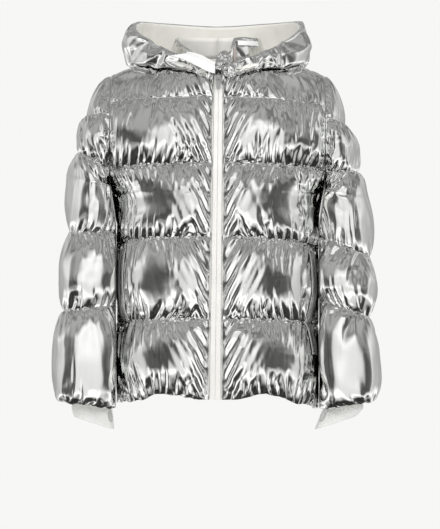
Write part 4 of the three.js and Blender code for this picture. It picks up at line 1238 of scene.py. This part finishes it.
def neckRadius(degrees):
    foot = neckPoint(math.radians(degrees))
    return math.hypot(foot[0], foot[1] - neck["y"])


def turnedFacing():
    stations = np.linspace(facingEdge[0]["at"], facingEdge[-1]["at"], facing["columns"] + 1)
    grid = np.empty((facing["rows"] + 1, len(stations), 3))
    for c, degrees in enumerate(stations):
        row = rowAtAngle(facingEdge, degrees)
        low, top = splineValue(facingEdge, "low", row), splineValue(facingEdge, "top", row)
        turn = math.radians(degrees)
        hoodRow = rowAtAngle(hoodSections, degrees)
        rim = max(splineValue(hoodSections, key, hoodRow) for key in ("rimR", "wallR")) + facing["overHood"]
        inner = neckRadius(degrees) + form["seamWall"] + collar["puff"] + facing["overCollar"]
        for r in range(facing["rows"] + 1):
            t = r / facing["rows"]
            reach = mix(rim, inner, smooth((t - facing["turnsAt"]) / (1 - facing["turnsAt"])))
            grid[r, c] = (-reach * math.sin(turn), neck["y"] - reach * math.cos(turn), mix(low, top, t))
    ripple = noiseField(grid.shape[:2], (3, 7), 611) * facing["ripple"]
    grid[..., 1] += ripple - facing["ripple"]
    return grid


face = turnedFacing()
addSheet("collar_right_facing", face, face + vec(0, facing["wall"], 0), None, "white facing", held="folded",
         rests=["collar_right_cloth"])


# collar_left_edge is coloured taupe as painted shade along the left collar's front edge
collarStrips = {
    "collar_left_edge": {"cloth": "taupe painted edge shade", "from": 15.5, "to": 19, "low": 0, "top": None, "off": 1.4,
                         "rows": 16, "columns": 4},
    "collar_left_strip": {"cloth": "white facing", "from": 21, "to": 54, "low": 41, "top": 50, "off": 1.0,
                          "rows": 5, "columns": 26},
}


def collarStrip(strip):
    rows, columns = strip["rows"], strip["columns"]
    grid = np.empty((rows + 1, columns + 1, 3))
    for c, degrees in enumerate(np.linspace(strip["from"], strip["to"], columns + 1)):
        turn = math.radians(degrees)
        row = rowAtAngle(collarTops[1], degrees)
        top, lean = splineValue(collarTops[1], "z", row), splineValue(collarTops[1], "lean", row)
        foot = neckPoint(turn)
        # a strip without a top of its own runs to just over the collar's
        upTo = top + 2 if strip["top"] is None else strip["top"]
        for r in range(rows + 1):
            z = mix(strip["low"], upTo, r / rows)
            h = clamp((z - foot[2]) / (top - foot[2]))
            reach = neckRadius(degrees) + form["seamWall"] + collarPuff(h) + lean * h ** 1.5
            reach += collar["cap"] * 0.6 + strip["off"]
            grid[r, c] = (reach * math.sin(turn), neck["y"] - reach * math.cos(turn), z)
    return grid


for name, strip in collarStrips.items():
    face = collarStrip(strip)
    addSheet(name, face, face + vec(0, 1.1, 0), None, strip["cloth"], rests=["collar_left_cloth"])

# the left collar's front corner has folded over itself into a crumple
corner = {"left": -7, "right": 29, "low": -13.1, "top": 26, "rows": 34, "depth": 5.0, "front": 117,
          "leanBack": 9, "turnsAt": 0.62, "narrows": 0.45, "topBow": 5}
tabRoom = {"x": 1.9, "y": -107.6, "z": -19.3, "slope": 0.616, "clear": 3.4, "halfWidth": 5.2, "top": 2,
           "opens": 14}


def crumpledCorner():
    n = corner["rows"]
    across, up = np.meshgrid(np.linspace(0, 1, n + 1), np.linspace(0, 1, n + 1))
    narrow = 1 - corner["narrows"] * up ** 2
    x = mix(corner["left"], corner["right"], corner["turnsAt"] + (across - corner["turnsAt"]) * narrow)
    z = mix(corner["low"], corner["top"], up) + corner["topBow"] * np.sin(math.pi * across) * up
    folds = np.abs(noiseField(x.shape, (4, 4), 733)) * 1.6 + 0.4 * noiseField(x.shape, (9, 9), 735)
    edge = np.clip(np.minimum(np.minimum(across, 1 - across), np.minimum(up, 1 - up)) * 7, 0, 1)
    y = neck["y"] - corner["front"] + corner["leanBack"] * up
    y = y - corner["depth"] * folds * (0.35 + 0.65 * edge)
    # it leaves room for the pull tab, also when that is swung up
    front = tabRoom["y"] - tabRoom["slope"] * (z - tabRoom["z"]) + tabRoom["clear"]
    aside = smoothGrid((np.abs(x - tabRoom["x"]) - tabRoom["halfWidth"]) / 7)
    above = smoothGrid((z - tabRoom["top"]) / 4)
    y = np.maximum(y, front + 1.2 * folds - tabRoom["opens"] * aside - tabRoom["opens"] * above)
    return np.stack([x, y, z], axis=2)


face = crumpledCorner()
addSheet("collar_left_corner", face, face + vec(0, 1.2, 0), None, "corner foil", held="folded",
         rests=["collar_left_cloth"], uv=np.zeros(face.shape[:2] + (2,)) + 0.5)
print("thin pieces made:", len(sheets))


def addNode(tree, kind, inputs=None, **settings):
    # inputs gives each socket, by name or number, its value or the output that feeds it
    node = tree.nodes.new(kind)
    for key, value in settings.items():
        setattr(node, key, value)
    for key, value in (inputs or {}).items():
        if hasattr(value, "is_linked"):
            tree.links.new(value, node.inputs[key])
        else:
            node.inputs[key].default_value = value
    return node


# rows of small equal parts along a line, such as stitches and zip teeth
def rowOfParts():
    tree = bpy.data.node_groups.new("small parts along a line", "GeometryNodeTree")
    face = tree.interface
    face.new_socket("Geometry", in_out="INPUT", socket_type="NodeSocketGeometry")
    face.new_socket("Geometry", in_out="OUTPUT", socket_type="NodeSocketGeometry")
    for label in ("Spacing", "Length", "Width", "Height"):
        face.new_socket(label, in_out="INPUT", socket_type="NodeSocketFloat")
    face.new_socket("Material", in_out="INPUT", socket_type="NodeSocketMaterial")
    given = addNode(tree, "NodeGroupInput").outputs
    line = addNode(tree, "GeometryNodeMeshToCurve", {0: given["Geometry"]})
    spaced = addNode(tree, "GeometryNodeResampleCurve", mode="LENGTH", inputs={
        "Curve": line.outputs[0], "Length": given["Spacing"]})
    part = addNode(tree, "GeometryNodeMeshUVSphere", {"Segments": 6, "Rings": 4, "Radius": 0.5})
    size = addNode(tree, "ShaderNodeCombineXYZ", {0: given["Length"], 1: given["Height"], 2: given["Width"]})
    shaped = addNode(tree, "GeometryNodeTransform", {"Geometry": part.outputs[0], "Scale": size.outputs[0]})
    tangent = addNode(tree, "GeometryNodeInputTangent")
    turn = addNode(tree, "FunctionNodeAlignRotationToVector", {"Vector": tangent.outputs[0]}, axis="X")
    copies = addNode(tree, "GeometryNodeInstanceOnPoints", {
        "Points": spaced.outputs[0], "Instance": shaped.outputs[0], "Rotation": turn.outputs[0]})
    real = addNode(tree, "GeometryNodeRealizeInstances", {0: copies.outputs[0]})
    shade = addNode(tree, "GeometryNodeSetMaterial", {
        "Geometry": real.outputs[0], "Material": given["Material"]})
    addNode(tree, "NodeGroupOutput", {0: shade.outputs[0]})
    return tree


smallParts = rowOfParts()


def partsAlong(name, lines, sizes, material):
    points, edges = [], []
    for line in lines:
        base = len(points)
        points += (np.asarray(line) * 0.001).tolist()
        edges += [(base + i, base + i + 1) for i in range(len(line) - 1)]
    mesh = bpy.data.meshes.new(name + "_line")
    mesh.from_pydata(points, edges, [])
    guide = placed(name + "_line", mesh)
    modifier = guide.modifiers.new("parts", "NODES")
    modifier.node_group = smallParts
    identifiers = {item.name: item.identifier for item in smallParts.interface.items_tree
                   if item.in_out == "INPUT"}
    for label in ("Spacing", "Length", "Width", "Height"):
        modifier[identifiers[label]] = sizes[label.lower()] * 0.001
    modifier[identifiers["Material"]] = material
    bpy.context.view_layer.update()
    graph = bpy.context.evaluated_depsgraph_get()
    made = bpy.data.meshes.new_from_object(guide.evaluated_get(graph))
    made.name = name
    bpy.data.objects.remove(guide)
    return placed(name, made)


# materials
def newMaterial(name):
    material = bpy.data.materials.new(name)
    material.use_nodes = True
    return material, material.node_tree, material.node_tree.nodes["Principled BSDF"]


def mathNode(tree, kind, *values):
    return addNode(tree, "ShaderNodeMath", dict(enumerate(values)), operation=kind).outputs[0]


def rampNode(tree, source, stops):
    node = addNode(tree, "ShaderNodeValToRGB", {0: source})
    ramp = node.color_ramp
    while len(ramp.elements) < len(stops):
        ramp.elements.new(0.5)
    for element, (at, value) in zip(ramp.elements, stops):
        element.position = at
        element.color = (value, value, value, 1) if isinstance(value, (int, float)) else (*value, 1)
    return node.outputs[0]


def noiseNode(tree, place, scale, detail=2.0, distortion=0.0):
    return addNode(tree, "ShaderNodeTexNoise", {
        "Vector": place, "Scale": scale, "Detail": detail, "Distortion": distortion}).outputs[0]


def bumpNode(tree, height, strength, distance, under=None):
    node = addNode(tree, "ShaderNodeBump", {"Strength": strength, "Distance": distance, "Height": height})
    if under is not None:
        tree.links.new(under, node.inputs["Normal"])
    return node.outputs[0]


def cloudy(tree, source, colour, dim, shader):
    darker = tuple(dim * v for v in colour)
    tree.links.new(rampNode(tree, source, ((0.3, darker), (0.7, colour))), shader.inputs["Base Color"])


foilLook = {"colour": (0.83, 0.835, 0.825), "roughness": 0.10, "crinkle": 0.14, "pucker": 0.5}


def foilMaterial():
    material, tree, shader = newMaterial("mirror foil")
    shader.inputs["Base Color"].default_value = (*foilLook["colour"], 1)
    shader.inputs["Metallic"].default_value = 1.0
    place = addNode(tree, "ShaderNodeTexCoord").outputs["Object"]
    uv = addNode(tree, "ShaderNodeUVMap", uv_map="quilt").outputs[0]
    along, level, _ = addNode(tree, "ShaderNodeSeparateXYZ", {0: uv}).outputs
    fromMiddle = mathNode(tree, "ABSOLUTE", mathNode(tree, "SUBTRACT", mathNode(tree, "FRACT", level), 0.5))
    nearSeam = rampNode(tree, mathNode(tree, "MULTIPLY", fromMiddle, 2.0), ((0.2, 0.0), (0.97, 1.0)))
    # wrinkles that run straight away from each quilting seam
    stretched = addNode(tree, "ShaderNodeCombineXYZ", {
        0: mathNode(tree, "MULTIPLY", along, 9.0), 1: mathNode(tree, "MULTIPLY", level, 3.0)})
    rays = noiseNode(tree, stretched.outputs[0], 1.0, 1.0)
    puckers = bumpNode(tree, mathNode(tree, "MULTIPLY", rays, nearSeam), foilLook["pucker"], 0.0022)
    # small crinkles of the foil all over
    crinkle = noiseNode(tree, place, 45.0, 2.0, 0.6)
    crinkles = bumpNode(tree, crinkle, foilLook["crinkle"], 0.0007, puckers)
    tree.links.new(crinkles, shader.inputs["Normal"])
    worn = rampNode(tree, noiseNode(tree, place, 18.0, 3.0), (
        (0.3, foilLook["roughness"] * 0.7), (0.7, foilLook["roughness"] * 1.5)))
    tree.links.new(worn, shader.inputs["Roughness"])
    return material


def clothMaterial(name, colour, roughness, threads=900.0, strength=0.12, sheen=0.15):
    material, tree, shader = newMaterial(name)
    shader.inputs["Roughness"].default_value = roughness
    shader.inputs["Sheen Weight"].default_value = sheen
    place = addNode(tree, "ShaderNodeTexCoord").outputs["Object"]
    weave = addNode(tree, "ShaderNodeTexWave", {"Vector": place, "Scale": threads / 6.283, "Distortion": 0.8})
    cloudy(tree, noiseNode(tree, place, 30.0), colour, 0.93, shader)
    tree.links.new(bumpNode(tree, weave.outputs[0], strength, 0.0004), shader.inputs["Normal"])
    return material


def plainMaterial(name, colour, metallic, roughness):
    material, tree, shader = newMaterial(name)
    shader.inputs["Metallic"].default_value = metallic
    shader.inputs["Roughness"].default_value = roughness
    place = addNode(tree, "ShaderNodeTexCoord").outputs["Object"]
    cloudy(tree, noiseNode(tree, place, 240.0), colour, 0.88, shader)
    return material


foil = foilMaterial()
liningCloth = clothMaterial("off-white lining", (0.86, 0.85, 0.81), 0.7)
knitCloth = clothMaterial("white rib knit", (0.90, 0.90, 0.88), 0.9, 1400.0, 0.2, 0.3)
tapeCloth = clothMaterial("off-white zip tape", (0.86, 0.85, 0.82), 0.55, 1200.0, 0.15, 0.05)
# dark grey painted on the pocket zip tape for the shade of the pocket opening
pocketShadeTape = clothMaterial("grey pocket zip tape, painted shade", (0.20, 0.20, 0.20), 0.5, 1200.0, 0.15, 0.0)
facingCloth = clothMaterial("white facing", (0.93, 0.93, 0.92), 0.5, 900.0, 0.06, 0.1)
# taupe colour painted on for the shade along the left collar's front edge
edgeShadeCloth = clothMaterial("taupe painted edge shade", (0.36, 0.32, 0.30), 0.6, 1100.0, 0.1, 0.1)
thread = plainMaterial("grey sewing thread", (0.66, 0.66, 0.65), 0.0, 0.6)
darkThread = plainMaterial("dark sewing thread", (0.22, 0.22, 0.22), 0.0, 0.6)
silverMetal = plainMaterial("polished zip metal", (0.52, 0.52, 0.51), 1.0, 0.3)
# near-black pocket zip coil, also painted shade of the pocket opening
coil = plainMaterial("pocket zip coil, painted shade", (0.10, 0.10, 0.11), 0.0, 0.35)

for name in panelNames + upperNames:
    obj = pieces[name]
    obj.data.materials.append(foil)
    obj.data.materials.append(liningCloth)
    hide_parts(name)
    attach(obj, "jacket")

clothOf = {
    "lining": (liningCloth, "lining"), "knit": (knitCloth, "knit"), "tape": (tapeCloth, "zip_tape"),
    "pocket tape, painted shade": (pocketShadeTape, "zip_tape"), "welt": (foil, "foil"), "corner foil": (foil, "foil"),
    "white facing": (facingCloth, "lining"), "taupe painted edge shade": (edgeShadeCloth, "lining"),
}
for name, made in sheets.items():
    obj = made["obj"]
    material, slotName = clothOf[made["cloth"]]
    obj.data.materials.append(material)
    if made["node"]:
        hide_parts(made["node"])
    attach(obj, "jacket")

stitch = {"spacing": 3.4, "length": 2.5, "width": 0.55, "height": 0.55, "besideZip": 3}


def seamLines(name):
    fine = panels[name]["fine"]
    levels = fineLevels(panels[name])
    outwards = upsample(panels[name]["normal"])
    return [fine[r] + unitRows(outwards[r]) * 0.35 for r in
            (int(np.argmin(np.abs(levels - k))) for k in range(1, int(round(levels[-1]))))]


zipCoil = {"spacing": 1.9, "length": 1.1, "width": 3.6, "height": 1.0}
sewn = []
for name in panelNames + ("hood_shell",):
    sewn.append((partsAlong(name + "_stitches", seamLines(name), stitch, thread), "foil"))
for name in ("front_right", "front_left"):
    fine = panels[name]["fine"][6:-6, stitch["besideZip"]] - vec(0, 0.3, 0)
    sewn.append((partsAlong(name + "_zip_stitches", [fine], stitch, darkThread), "foil"))
for name, line in zipLines.items():
    sewn.append((partsAlong(name + "_coil", [line], zipCoil, coil), "zip_tape"))
for name, obj in trims.items():
    obj.data.materials.append(knitCloth)
    sewn.append((obj, "knit"))
for obj, slotName in sewn:
    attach(obj, "jacket")

for name in ("slider", "pull_tab"):
    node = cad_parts[name]
    for holder in node.material_slots:
        holder.material = silverMetal
    if not node.material_slots:
        node.data.materials.append(silverMetal)
print("materials, stitches and zips done")


# camera, floor and light
def makeCamera():
    view = {"x": 0.0046, "z": -0.36, "distance": 8.0, "frameHeight": 0.979}
    data = bpy.data.cameras.new("photo camera")
    data.sensor_fit = "VERTICAL"
    data.sensor_height = 24.0
    data.lens = 24.0 * view["distance"] / view["frameHeight"]
    data.clip_end = 50
    obj = placed("photo camera", data)
    obj.location = (view["x"], -view["distance"], view["z"])
    obj.rotation_euler = (math.pi / 2, 0, 0)
    bpy.context.scene.camera = obj


def makeFloor():
    size = {"radius": 3.9, "z": -1.46, "corners": 96}
    turns = [2 * math.pi * i / size["corners"] for i in range(size["corners"])]
    rim = [(size["radius"] * math.cos(t), size["radius"] * math.sin(t), size["z"]) for t in turns]
    mesh = bpy.data.meshes.new("floor")
    mesh.from_pydata(rim, [], [tuple(range(size["corners"]))])
    floor = placed("floor", mesh)
    floor.visible_glossy = False
    material, _, shader = newMaterial("studio floor")
    shader.inputs["Base Color"].default_value = (0.93, 0.93, 0.925, 1)
    shader.inputs["Roughness"].default_value = 0.8
    mesh.materials.append(material)


def makeWorld():
    # each stop is a share of the way up or round, and how bright the room is there
    world = bpy.data.worlds.new("studio")
    bpy.context.scene.world = world
    world.use_nodes = True
    tree = world.node_tree
    place = addNode(tree, "ShaderNodeTexCoord").outputs["Generated"]
    x, y, z = addNode(tree, "ShaderNodeSeparateXYZ", {0: place}).outputs
    height = mathNode(tree, "MULTIPLY_ADD", z, 0.5, 0.5)
    # the room by direction: a dim front, a grey ceiling, and tall soft boxes to the left and right
    room = rampNode(tree, height, (
        (0.0, 0.04), (0.27, 0.05), (0.33, 0.95), (0.40, 0.40), (0.44, 0.09), (0.54, 0.11), (0.64, 0.33),
        (1.0, 0.40)))
    patches = rampNode(tree, noiseNode(tree, place, 2.6, 3.0), ((0.40, 0.55), (0.50, 1.0), (0.60, 1.3)))
    room = mathNode(tree, "MULTIPLY", room, patches)
    squares = [mathNode(tree, "MULTIPLY", axis, axis) for axis in (x, y)]
    flat = mathNode(tree, "SQRT", mathNode(tree, "ADD", *squares))
    frontness = mathNode(tree, "MULTIPLY_ADD", mathNode(tree, "DIVIDE", y, flat), -0.5, 0.5)
    boxes = rampNode(tree, frontness, (
        (0.0, 0.30), (0.25, 0.42), (0.50, 0.58), (0.61, 0.70), (0.68, 0.08), (0.80, 0.0), (0.925, 0.02),
        (0.965, 0.75), (1.0, 0.9)))
    tall = rampNode(tree, height, ((0.12, 0.0), (0.24, 0.9), (0.62, 1.0), (0.72, 0.0)))
    room = mathNode(tree, "ADD", room, mathNode(tree, "MULTIPLY", boxes, tall))
    # the camera sees a plain backdrop instead of the room
    seen = addNode(tree, "ShaderNodeLightPath").outputs["Is Camera Ray"]
    blend = addNode(tree, "ShaderNodeMix", {0: seen, 2: room, 3: 0.93}, data_type="FLOAT")
    background = tree.nodes["Background"]
    background.inputs["Color"].default_value = (1, 1, 0.985, 1)
    tree.links.new(blend.outputs[0], background.inputs["Strength"])


def makeLights():
    # these light the white cloth, and the foil doesn't mirror them
    for name, place, size, power in (
        ("front left soft box", (-2.2, -3.0, 1.2), 2.0, 50),
        ("front right soft box", (2.2, -3.0, 1.0), 2.0, 50),
        ("back soft box", (0.0, 3.0, 1.2), 2.0, 40),
        ("top soft box", (0.0, -0.9, 2.6), 1.6, 26),
    ):
        data = bpy.data.lights.new(name, "AREA")
        data.size = size
        data.energy = power
        obj = placed(name, data)
        obj.location = place
        aim = Vector((0, 0, -0.35)) - Vector(place)
        obj.rotation_euler = aim.to_track_quat("-Z", "Y").to_euler()
        obj.visible_glossy = False
        obj.visible_camera = False


makeCamera()
makeFloor()
makeWorld()
makeLights()
bpy.context.scene.view_settings.view_transform = "Standard"
